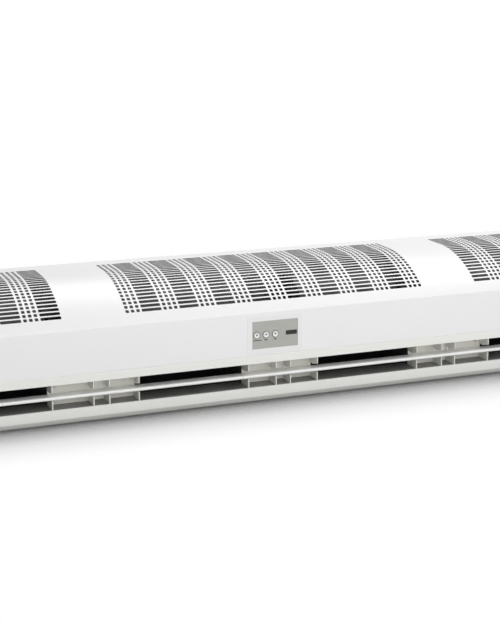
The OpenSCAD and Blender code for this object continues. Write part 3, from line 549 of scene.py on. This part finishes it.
def row_places(tree, given):
    """Middles of the short slots and of the long slots of one row.

    The middle field starts and ends with a group of short slots. The end fields start with a long
    slot, and a group of short ones follows each long one.
    """
    short_step = calc(tree, "ADD", given["Short Width"], given["Bridge"])
    group_w = calc(tree, "MULTIPLY", given["Short Count"], short_step)
    period = calc(tree, "ADD", calc(tree, "ADD", given["Long Width"], given["Bridge"]), group_w)
    longs_w = calc(tree, "MULTIPLY", given["Middle Longs"], period)
    field_w = calc(tree, "SUBTRACT", calc(tree, "ADD", longs_w, group_w), given["Bridge"])
    field_start = calc(tree, "MULTIPLY", field_w, -0.5)

    def slot_middle(first, shift, width):
        return calc(tree, "ADD", calc(tree, "ADD", first, shift), calc(tree, "MULTIPLY", width, 0.5))

    def short_x(first):
        def place(index):
            share = calc(tree, "DIVIDE", calc(tree, "ADD", index, 0.5), given["Short Count"])
            group = calc(tree, "FLOOR", share)
            inside = calc(tree, "SUBTRACT", index, calc(tree, "MULTIPLY", group, given["Short Count"]))
            groups_w = calc(tree, "MULTIPLY", group, period)
            shift = calc(tree, "ADD", groups_w, calc(tree, "MULTIPLY", inside, short_step))
            return slot_middle(first, shift, given["Short Width"])
        return place

    def long_x(first):
        def place(index):
            return slot_middle(first, calc(tree, "MULTIPLY", index, period), given["Long Width"])
        return place

    end_start = given["End Field Start"]
    end_short_x = calc(tree, "ADD", calc(tree, "ADD", end_start, given["Long Width"]), given["Bridge"])
    middle_long_x = calc(tree, "ADD", field_start, group_w)
    middle_groups = calc(tree, "ADD", given["Middle Longs"], 1.0)
    middle_shorts = calc(tree, "MULTIPLY", middle_groups, given["Short Count"])
    end_shorts = calc(tree, "MULTIPLY", given["End Longs"], given["Short Count"])
    shorts = join(
        tree,
        slot_places(tree, middle_shorts, short_x(field_start)),
        mirrored(tree, slot_places(tree, end_shorts, short_x(end_short_x))),
    )
    longs = join(
        tree,
        slot_places(tree, given["Middle Longs"], long_x(middle_long_x)),
        mirrored(tree, slot_places(tree, given["End Longs"], long_x(end_start))),
    )
    return shorts, longs


def cover_tree(stretches, to_crease, window):
    """Geometry tree of the cover: slotted rows and plain strips, laid flat and then bent."""
    tree, given = geometry_tree("Slotted Cover", {**GRILLE, "Length": COVER_L})
    pitch = given["Row Pitch"]
    shorts, longs = row_places(tree, given)
    holes = [
        add_node(tree, "GeometryNodeInstanceOnPoints", {
            "Points": points,
            "Instance": rounded_slot(tree, width, given["Slot Height"], given["Corner Radius"]),
        }).outputs[0]
        for points, width in ((shorts, given["Short Width"]), (longs, given["Long Width"]))
    ]
    half_pitch = calc(tree, "MULTIPLY", pitch, 0.5)
    row_strip = strip(tree, given, calc(tree, "MULTIPLY", pitch, -0.5), half_pitch, 1)
    row = filled(tree, border_of(tree, row_strip), *holes)
    first_row = calc(tree, "ADD", given["Row Start"], to_crease)
    row_line = add_node(tree, "GeometryNodeMeshLine", {
        "Count": given["Rows"],
        "Start Location": vector(tree, y=first_row),
        "Offset": vector(tree, y=pitch),
    }, mode="OFFSET")
    rows = add_node(tree, "GeometryNodeInstanceOnPoints", {
        "Points": row_line.outputs[0], "Instance": row,
    })
    rows_start = calc(tree, "SUBTRACT", first_row, half_pitch)
    rows_end = calc(tree, "ADD", rows_start, calc(tree, "MULTIPLY", given["Rows"], pitch))

    marks = [0.0]
    for stretch in stretches:
        marks.append(marks[-1] + stretch[0])
    fold, fold_bend, face, crease, shoulder, _, _, rear_bend, flange, flange_end = marks
    window_x, window_z, window_w, window_h = window
    window_along = face + window_z - FACE_BOTTOM - FOLD_R
    opening = moved(tree, rectangle(tree, window_w, window_h), window_x, window_along)
    face_border = border_of(tree, strip(tree, given, face, crease, 1))
    sheet = join(
        tree,
        rows.outputs[0],
        filled(tree, face_border, opening),
        strip(tree, given, fold, fold_bend, 1),
        strip(tree, given, fold_bend, face, FOLD_STEPS),
        strip(tree, given, crease, shoulder, CREASE_STEPS),
        strip(tree, given, shoulder, rows_start, SHOULDER_STEPS),
        strip(tree, given, rows_end, rear_bend, FLAT_STEPS),
        strip(tree, given, rear_bend, flange, REAR_STEPS),
        strip(tree, given, flange, flange_end, 1),
    )
    whole = add_node(tree, "GeometryNodeRealizeInstances", {"Geometry": sheet})
    merged = add_node(tree, "GeometryNodeMergeByDistance", {
        "Geometry": whole.outputs[0], "Distance": 0.01 * MM,
    })
    flat = add_node(tree, "GeometryNodeInputPosition")
    place = add_node(tree, "ShaderNodeSeparateXYZ", {0: flat.outputs[0]}).outputs
    depth, height = bend_sheet(tree, place[1], stretches)
    bent = add_node(tree, "GeometryNodeSetPosition", {
        "Geometry": merged.outputs[0],
        "Position": vector(tree, place[0], calc(tree, "ADD", depth, FRONT), height),
    })
    return close_tree(tree, given, bent.outputs[0])


def front_cover():
    """Cover sheet: made flat with its slots, bent along its path, then given its thickness."""
    stretches, to_crease = cover_path()
    border_low, border_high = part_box("panel_border")
    window = (
        (border_low.x + border_high.x) / 2,
        (border_low.z + border_high.z) / 2,
        border_high.x - border_low.x - 2 * WINDOW_MARGIN,
        border_high.z - border_low.z - 2 * WINDOW_MARGIN,
    )
    cover = new_object("slotted_cover_sheet", bpy.data.meshes.new("slotted_cover_sheet"))
    grow(cover, cover_tree(stretches, to_crease, window), {"Finish": FINISH["white_paint"]})
    cover.data.materials.append(FINISH["painted_shade_zinc"])      # the inner side and the cut edges, darkened as painted shade
    wall = cover.modifiers.new("wall", "SOLIDIFY")
    wall.thickness = SHEET_T
    wall.offset = -1
    wall.use_even_offset = True
    wall.material_offset = 1
    wall.material_offset_rim = 1
    settle(cover)
    soften(cover, 30)
    return dress(cover, "white_paint", BODY_OF["front_cover"], "front_cover")


# ---- pieces refined from their CAD solids ----------------------------------------------------

ROUNDED = {                              # radius of the edges
    "outlet_frame": 0.4 * MM,
    "end_cap_left": 1.0 * MM,
    "end_cap_right": 1.0 * MM,
    "guide_vane": 0.3 * MM,
    "panel_border": 0.4 * MM,
    "panel_plate": 0.15 * MM,
    "receiver_window": 0.2 * MM,
    **{f"button_{number}": 0.6 * MM for number in (1, 2, 3)},
    **{f"filler_{number}": 0.3 * MM for number in range(1, 7)},
}
LAP_STRETCH = 1.8                        # of the height of the strip's upper edge
LAP_PROUD = 0.25 * MM                    # the strip is all that stands this far before the face
LAP_SLACK = 0.05 * MM
LIP_R = 10 * MM                          # of the solids' lower front round
LIP_CREASE = 11.2 * MM                   # height of the crease that takes its place
LIP_GUIDES = (7.8 * MM, 11 * MM)         # depths of the two guide points of the slope below
LIP_SLACK = 0.01 * MM
NOTCH_PROUD = 1 * MM                     # reach of the cutter before the face
NOTCH_DEPTH = 29.5 * MM                  # the ribs are cut back this far
NOTCH_BACK_Z = 47.0 * MM                 # height of the cut at its inner end
NOTCH_FRONT_Z = 56.0 * MM                # and at the cutter's front


def draw_down_lap(shape):
    """Draws the rounded upper edge of the frame's strip down into a taller, softer slope."""
    lap_top = max(v.co.z for v in shape.verts if v.co.y < FRONT - LAP_PROUD)
    for point in shape.verts:
        if point.co.y < FRONT - LAP_PROUD and point.co.z > FACE_BOTTOM - LAP_SLACK:
            point.co.z = lap_top - (lap_top - point.co.z) * LAP_STRETCH


def turn_lip_under(node, shape):
    """Turns the lower front round into a crease with a flatter slope, on sheet and caps alike."""
    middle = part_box(node)[0].y + LIP_R
    first, last = LIP_GUIDES
    for point in shape.verts:
        back, down = middle - point.co.y, LIP_R - point.co.z
        if back > -LIP_SLACK and down > -LIP_SLACK:
            way = math.atan2(max(down, 0), max(back, 0))
            t = way / (math.pi / 2)
            point.co.y += 2 * t * (1 - t) * first + t * t * last - LIP_R * (1 - math.cos(way))
            point.co.z += (1 - t) ** 2 * LIP_CREASE - LIP_R * (1 - math.sin(way))


def draw_out(shape, outline, way):
    """Adds a flat outline to a shape and draws it out into a solid."""
    side = shape.faces.new([shape.verts.new(corner) for corner in outline])
    grown = bmesh.ops.extrude_face_region(shape, geom=[side])
    far = [v for v in grown["geom"] if isinstance(v, bmesh.types.BMVert)]
    bmesh.ops.translate(shape, verts=far, vec=way)


def closed_object(name, shape):
    """Object of a closed shape whose faces are turned outwards first."""
    bmesh.ops.recalc_face_normals(shape, faces=shape.faces)
    mesh = bpy.data.meshes.new(name)
    shape.to_mesh(mesh)
    shape.free()
    return new_object(name, mesh)


def notch_cutter():
    """Wedge across the outlet, above the vane, that takes away the ribs' lower front corners."""
    nose_low, nose_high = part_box("guide_vane")
    axis_z = (nose_low.z + nose_high.z) / 2
    outline = [
        (-NOTCH_PROUD, axis_z), (NOTCH_DEPTH, axis_z),
        (NOTCH_DEPTH, NOTCH_BACK_Z), (-NOTCH_PROUD, NOTCH_FRONT_Z),
    ]
    shape = bmesh.new()
    draw_out(shape, [(cover_low.x, FRONT + depth, z) for depth, z in outline], (COVER_L, 0, 0))
    return closed_object("notch_cutter", shape)


def open_notch(piece):
    """Cuts the ribs of a filler back above the vane, so that its whole upper side shows."""
    cutter = notch_cutter()
    cut = piece.modifiers.new("notch", "BOOLEAN")
    cut.operation = "DIFFERENCE"
    cut.solver = "EXACT"
    cut.object = cutter
    settle(piece)
    bpy.data.objects.remove(cutter)


def refined(node):
    """Copy of a CAD solid with its triangles joined into faces and its edges rounded."""
    mesh = CAD[node].data.copy()
    mesh.materials.clear()
    shape = bmesh.new()
    shape.from_mesh(mesh)
    bmesh.ops.remove_doubles(shape, verts=shape.verts, dist=WELD)
    bmesh.ops.dissolve_limit(
        shape, angle_limit=math.radians(COPLANAR), verts=shape.verts, edges=shape.edges,
        use_dissolve_boundaries=False,
    )
    if node == "outlet_frame":
        draw_down_lap(shape)
    if node in ("outlet_frame", "end_cap_left", "end_cap_right"):
        turn_lip_under(node, shape)
    shape.to_mesh(mesh)
    shape.free()
    piece = new_object(node + "_piece", mesh)
    if node.startswith("filler_"):
        open_notch(piece)
    round_edges(piece, ROUNDED[node])
    if node in OWN_FINISH:
        piece.data.materials.append(FINISH[OWN_FINISH[node]])
    return dress(piece, SLOT_OF[node], BODY_OF[node], node)


# ---- panel: dished buttons, rings of painted shade round them and generic marks below ---------

DISH = ((0.3, 0.0), (2.9, 0.25), (0.15, 0.25))      # steps inwards and down from the rim, in mm
# Painted shade: a dark ring where the gap round each button would lie in shade.
GAP_SHADE_RING = {"Outer Radius": 6.2 * MM, "Inner Radius": 5.3 * MM, "Thickness": 0.12 * MM}
GAP_SHADE_RING_SIDES = 40
MARKS = [(1.0, 15, 1.6), (0, 5.0, 2.0), (0, 4.5, 2.0)]       # shift, width and height, in mm
MARK_DROP = 8.8 * MM                     # below the middle of the button
MARK_CORNER = 0.25 * MM
MARK_PROUD = 0.04 * MM
MARK_T = 0.06 * MM                       # more than it stands proud, so that it sits in the plate


def dish_button(number):
    """Button with a shallow dish in its front and a dimple at its middle, darkened as painted shade."""
    piece = refined(f"button_{number}")
    piece.data.materials.append(FINISH["print_and_dimple_shade"])
    shape = bmesh.new()
    shape.from_mesh(piece.data)
    forward = [f for f in shape.faces if f.normal.y < -0.99]
    front = max(forward, key=lambda f: f.calc_area() - f.calc_center_median().y)
    for inset, sink in DISH:
        bmesh.ops.inset_region(shape, faces=[front], thickness=inset * MM)
        bmesh.ops.translate(shape, verts=front.verts, vec=(0, sink * MM, 0))
    # painted shade: the dimple's floor wears the dark print colour
    front.material_index = 1
    shape.to_mesh(piece.data)
    shape.free()


def gap_shade_ring_tree():
    """Flat dark rings round given points, facing the outlet's front, that paint the shade of each
    button's gap.
    """
    tree, given = geometry_tree("Button Gap Shade Rings", GAP_SHADE_RING, on_points=True)
    rims = [
        add_node(tree, "GeometryNodeCurvePrimitiveCircle", {
            "Resolution": GAP_SHADE_RING_SIDES, "Radius": given[key],
        }).outputs[0]
        for key in ("Outer Radius", "Inner Radius")
    ]
    flat = filled(tree, *rims)
    raised = add_node(tree, "GeometryNodeExtrudeMesh", {
        "Mesh": flat, "Offset Scale": given["Thickness"], "Individual": False,
    })
    back = add_node(tree, "GeometryNodeFlipFaces", {"Mesh": flat})
    ring = add_node(tree, "GeometryNodeMergeByDistance", {
        "Geometry": join(tree, raised.outputs[0], back.outputs[0]), "Distance": 0.001 * MM,
    })
    rings = add_node(tree, "GeometryNodeInstanceOnPoints", {
        "Points": given["Geometry"], "Instance": ring.outputs[0], "Rotation": (math.pi / 2, 0, 0),
    })
    return close_tree(tree, given, rings.outputs[0])


def points_object(name, places):
    mesh = bpy.data.meshes.new(name)
    mesh.from_pydata([tuple(p) for p in places], [], [])
    return new_object(name, mesh)


def middle_of(node):
    low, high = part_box(node)
    return (low + high) / 2


def button_gap_shade_rings():
    """Thin dark rings on the plate, one round each button, as painted shade of the gap round it."""
    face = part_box("panel_plate")[0].y
    middles = [middle_of(f"button_{number}") for number in (1, 2, 3)]
    piece = points_object("button_gap_shade_rings", [(middle.x, face, middle.z) for middle in middles])
    grow(piece, gap_shade_ring_tree(), {"Finish": FINISH["gap_shade_grey"]})
    soften(piece)
    dress(piece, "nylon_dark", BODY_OF["panel_plate"])


def panel_marks():
    """Plain printed bars under the buttons."""
    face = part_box("panel_plate")[0].y
    shape = bmesh.new()
    for number, (shift, width, height) in enumerate(MARKS, 1):
        button = middle_of(f"button_{number}")
        x, z = button.x + shift * MM, button.z - MARK_DROP
        w, h, c = width * MM / 2, height * MM / 2, MARK_CORNER
        outline = [
            (-w, -h + c), (-w + c, -h), (w - c, -h), (w, -h + c),
            (w, h - c), (w - c, h), (-w + c, h), (-w, h - c),
        ]
        draw_out(shape, [(x + dx, face - MARK_PROUD, z + dz) for dx, dz in outline], (0, MARK_T, 0))
    dress(closed_object("panel_marks", shape), "print_and_dimple_shade", BODY_OF["panel_plate"])


# ---- pan-head screws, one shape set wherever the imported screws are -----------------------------

SCREW = {
    "Head Radius": 3.8 * MM,
    "Head Height": 2.2 * MM,
    "Shank Radius": 1.95 * MM,
    "Cross Width": 1.0 * MM,
}
DOME = [(1.0, 0.0), (1.0, 0.3), (0.93, 0.62), (0.75, 0.86), (0.45, 1.0)]     # radius and height shares
HEAD_SIDES = 24
SHANK_SIDES = 16
SHANK_LAP = 0.1 * MM                     # the shank reaches this far into the head
CROSS_REACH = 1.2                        # length of the recess, as a share of the head's radius
CROSS_TALL = 0.9                         # of the bars that cut it, half of which is in the head
SCREW_AXIS = {
    "cover_screws": (0, 1, 0),
    "cap_screws": (1, 0, 0),
    "filler_screws": (0, -1, 0),
    "scroll_screws": (0, 0, 1),
}


def screw_tree():
    """Domed heads with a cross recess and a plain shank at the given points, turned as they say."""
    sizes = {**SCREW, "Shank Length": 3 * MM, "Seed": 4}
    tree, given = geometry_tree("Pan Head Screws", sizes, on_points=True)
    radius, height = given["Head Radius"], given["Head Height"]
    bands = []
    for (low_r, low), (top_r, high) in zip(DOME, DOME[1:]):
        band = add_node(tree, "GeometryNodeMeshCone", {
            "Vertices": HEAD_SIDES,
            "Radius Top": calc(tree, "MULTIPLY", radius, top_r),
            "Radius Bottom": calc(tree, "MULTIPLY", radius, low_r),
            "Depth": calc(tree, "MULTIPLY", height, high - low),
        }, fill_type="NONE")
        bands.append(moved(tree, band.outputs[0], z=calc(tree, "MULTIPLY", height, low)))
    lid, seat = (
        add_node(tree, "GeometryNodeMeshCircle", {
            "Vertices": HEAD_SIDES, "Radius": calc(tree, "MULTIPLY", radius, share),
        }, fill_type="NGON").outputs[0]
        for share in (DOME[-1][0], DOME[0][0])
    )
    under = add_node(tree, "GeometryNodeFlipFaces", {"Mesh": seat})
    head = add_node(tree, "GeometryNodeMergeByDistance", {
        "Geometry": join(tree, moved(tree, lid, z=height), under.outputs[0], *bands), "Distance": WELD,
    })
    reach, width = calc(tree, "MULTIPLY", radius, CROSS_REACH), given["Cross Width"]
    tall = calc(tree, "MULTIPLY", height, CROSS_TALL)
    cut = add_node(tree, "GeometryNodeMeshBoolean", {"Mesh 1": head.outputs[0]}, operation="DIFFERENCE")
    for x, y in ((reach, width), (width, reach)):
        bar = add_node(tree, "GeometryNodeMeshCube", {"Size": vector(tree, x, y, tall)})
        tree.links.new(moved(tree, bar.outputs[0], z=height), cut.inputs["Mesh 2"])
    shank = add_node(tree, "GeometryNodeMeshCylinder", {
        "Vertices": SHANK_SIDES, "Radius": given["Shank Radius"], "Depth": given["Shank Length"],
    })
    sunk = calc(tree, "MULTIPLY_ADD", given["Shank Length"], -0.5, SHANK_LAP)
    screw = join(tree, cut.outputs["Mesh"], moved(tree, shank.outputs[0], z=sunk))
    turn = add_node(tree, "GeometryNodeInputNamedAttribute", {"Name": "turn"}, data_type="FLOAT_VECTOR")
    facing = add_node(tree, "FunctionNodeEulerToRotation", {0: turn.outputs[0]})
    placed = add_node(tree, "GeometryNodeInstanceOnPoints", {
        "Points": given["Geometry"], "Instance": screw, "Rotation": facing.outputs[0],
    })
    # Inputs 2 and 3 and output 1 are the lowest, the highest and the random number.
    spin = add_node(tree, "FunctionNodeRandomValue", {2: 0.0, 3: math.pi / 2, "Seed": given["Seed"]})
    spun = add_node(tree, "GeometryNodeRotateInstances", {
        "Instances": placed.outputs[0], "Rotation": vector(tree, z=spin.outputs[1]),
    })
    return close_tree(tree, given, spun.outputs[0])


def separate_boxes(node):
    """Lowest and highest corner of each separate solid of a CAD node."""
    shape = bmesh.new()
    shape.from_mesh(CAD[node].data)
    bmesh.ops.remove_doubles(shape, verts=shape.verts, dist=WELD)
    left, boxes = dict.fromkeys(shape.verts), []      # in the mesh's own order, the same each run
    while left:
        grown, found = [left.popitem()[0]], []
        while grown:
            point = grown.pop()
            found.append(point.co.copy())
            for edge in point.link_edges:
                other = edge.other_vert(point)
                if other in left:
                    del left[other]
                    grown.append(other)
        boxes.append([Vector([pick(c[i] for c in found) for i in range(3)]) for pick in (min, max)])
    shape.free()
    return boxes


def screw_set(node, axis, tree):
    """Screws of one node, heads along the axis, or away from the middle if it lies along X."""
    places, turns = [], []
    for low, high in separate_boxes(node):
        middle = (low + high) / 2
        outward = Vector(axis)
        if outward.x:
            outward.x = math.copysign(1, middle.x)
        half = (high - low) / 2
        tip = middle + Vector([outward[i] * half[i] for i in range(3)])
        places.append(tip - outward * SCREW["Head Height"])
        turns.append(outward.to_track_quat("Z", "Y").to_euler())
        shank = 2 * sum(abs(outward[i]) * half[i] for i in range(3)) - SCREW["Head Height"]
    piece = points_object(node + "_set", places)
    kept = piece.data.attributes.new("turn", "FLOAT_VECTOR", "POINT")
    for spot, turn in zip(kept.data, turns):
        spot.vector = turn
    grow(piece, tree, {"Shank Length": shank + SHANK_LAP, "Finish": FINISH[SLOT_OF[node]]})
    soften(piece)
    dress(piece, SLOT_OF[node], BODY_OF[node], node)


# ---- the whole object ------------------------------------------------------------------------

front_cover()
for number in (1, 2, 3):
    dish_button(number)
button_gap_shade_rings()
panel_marks()
screws = screw_tree()
for node, solid in CAD.items():
    if node.startswith("button_") or node == "front_cover":
        continue
    if node in ROUNDED:
        refined(node)
    elif node in SCREW_AXIS:
        screw_set(node, SCREW_AXIS[node], screws)
    else:
        solid.data.materials.clear()
        solid.data.materials.append(FINISH[NODE_FINISH.get(node, SLOT_OF[node])])


# ---- floor, light and camera -----------------------------------------------------------------

def seen_directly(tree):
    """1 where the camera looks straight, in a mirror or through glass; 0 for light on its way."""
    path = add_node(tree, "ShaderNodeLightPath").outputs
    mirror_or_glass = calc(tree, "MAXIMUM", path["Is Glossy Ray"], path["Is Transmission Ray"])
    return calc(tree, "MAXIMUM", path["Is Camera Ray"], mirror_or_glass)


def studio_floor():
    """Wide pale floor: white to the camera, darkening close around whatever stands on it."""
    mesh = bpy.data.meshes.new("studio_floor")
    corners = [(-1, -1), (1, -1), (1, 1), (-1, 1)]
    places = [(x * FLOOR_REACH, y * FLOOR_REACH, -FLOOR_GAP) for x, y in corners]
    mesh.from_pydata(places, [], [(0, 1, 2, 3)])
    floor = new_object("studio_floor", mesh)
    material = bpy.data.materials.new("Pale floor")
    material.use_nodes = True
    tree = material.node_tree
    shader = tree.nodes["Principled BSDF"]
    shader.inputs["Roughness"].default_value = 0.9
    shader.inputs["Specular IOR Level"].default_value = 0.0
    shader.inputs["Emission Strength"].default_value = 1.0
    seen = seen_directly(tree)
    open_sky = add_node(tree, "ShaderNodeAmbientOcclusion", {"Distance": SHADOW_REACH}, samples=8)
    freed = add_node(tree, "ShaderNodeMapRange", {
        "Value": open_sky.outputs["AO"], "From Min": SHADOW_SKY,
    })
    clear = calc(tree, "POWER", freed.outputs["Result"], SHADOW_FALL)
    glow = calc(tree, "MULTIPLY", seen, clear)
    to_lamps = calc(tree, "MULTIPLY_ADD", clear, FLOOR_TONE - SHADOW_TONE, SHADOW_TONE)
    to_camera = calc(tree, "MULTIPLY", calc(tree, "SUBTRACT", 1.0, clear), SEEN_SHADOW_TONE)
    change = calc(tree, "SUBTRACT", to_camera, to_lamps)
    shade = calc(tree, "MULTIPLY_ADD", seen, change, to_lamps)
    tree.links.new(vector(tree, shade, shade, shade), shader.inputs["Base Color"])
    tree.links.new(vector(tree, glow, glow, glow), shader.inputs["Emission Color"])
    floor.data.materials.append(material)


def soft_light(name, place, aim, size, power):
    """Soft rectangular lamp at a place, aimed at a point."""
    data = bpy.data.lights.new(name, "AREA")
    data.shape = "RECTANGLE"
    data.size, data.size_y = size
    data.energy = power
    lamp = new_object(name, data)
    lamp.location = place
    lamp.rotation_euler = (Vector(aim) - Vector(place)).to_track_quat("-Z", "Y").to_euler()


def studio_sky():
    """Even white surround: full white to the camera, plain light for everything else."""
    world = bpy.data.worlds.new("studio")
    bpy.context.scene.world = world
    world.use_nodes = True
    tree = world.node_tree
    tree.nodes.clear()
    strength = calc(tree, "MULTIPLY_ADD", seen_directly(tree), 1.0 - SKY_LEVEL, SKY_LEVEL)
    sky = add_node(tree, "ShaderNodeBackground", {"Color": (1, 1, 1, 1), "Strength": strength})
    out = add_node(tree, "ShaderNodeOutputWorld")
    tree.links.new(sky.outputs[0], out.inputs["Surface"])


def photo_camera():
    """Camera at the photograph's place: low, left of the middle, looking along the outlet."""
    data = bpy.data.cameras.new("photo_camera")
    data.sensor_width = 36.0
    data.lens = PHOTO_FOCAL_PX / PHOTO_TALL_PX * data.sensor_width
    data.clip_start, data.clip_end = 0.05, 100.0
    camera = new_object("photo_camera", data)
    right, forward = Vector(VIEW_RIGHT), Vector(VIEW_FORWARD)
    up = right.cross(forward)
    turn = Matrix((right, up, -forward)).transposed().to_4x4()
    camera.matrix_world = Matrix.Translation(Vector(CAMERA_PLACE) + Vector((0, FRONT, 0))) @ turn
    bpy.context.scene.camera = camera


PHOTO_FOCAL_PX = 1400
PHOTO_TALL_PX = 625
CAMERA_PLACE = (-0.8851, -2.0617, 0.6935)      # from the middle of the outlet front, at the floor
VIEW_RIGHT = (0.92842543, -0.37151881, 0.0)
VIEW_FORWARD = (0.36105433, 0.9022747, -0.23566956)
SKY_LEVEL = 0.05
FLOOR_REACH = 30.0
FLOOR_GAP = 0.2 * MM                     # between the floor and the wall face that lies on it
FLOOR_TONE = 0.7                         # of the open floor where it throws light on
SHADOW_TONE = 0.3                        # of the floor next to the object, where it throws light on
SEEN_SHADOW_TONE = 0.25                  # of the floor next to the object, as it is seen
SHADOW_REACH = 0.17                      # the floor is plain white beyond this distance
SHADOW_SKY = 0.5                         # share of open sky at which the shadow is darkest
SHADOW_FALL = 0.5                        # below 1 the shadow thins out faster next to the object

photo_camera()
studio_sky()
studio_floor()
soft_light("overhead_rear", (0.8, 1.0, 2.4), (0.2, 0, 0.1), (3.4, 1.3), 54)
soft_light("overhead_front", (0.2, -1.5, 2.4), (0, 0, 0.1), (3.4, 1.3), 24)
soft_light("half_front", (0.3, -2.8, 1.5), (0, 0, 0.1), (3.6, 1.2), 30)
soft_light("low_right", (2.2, -2.6, 0.5), (0.2, -0.1, 0.1), (2.4, 0.9), 7)
soft_light("low_front", (-0.6, -3.3, 0.45), (-0.2, -0.1, 0.1), (3.0, 0.8), 27)

bpy.context.scene.view_settings.view_transform = "Standard"
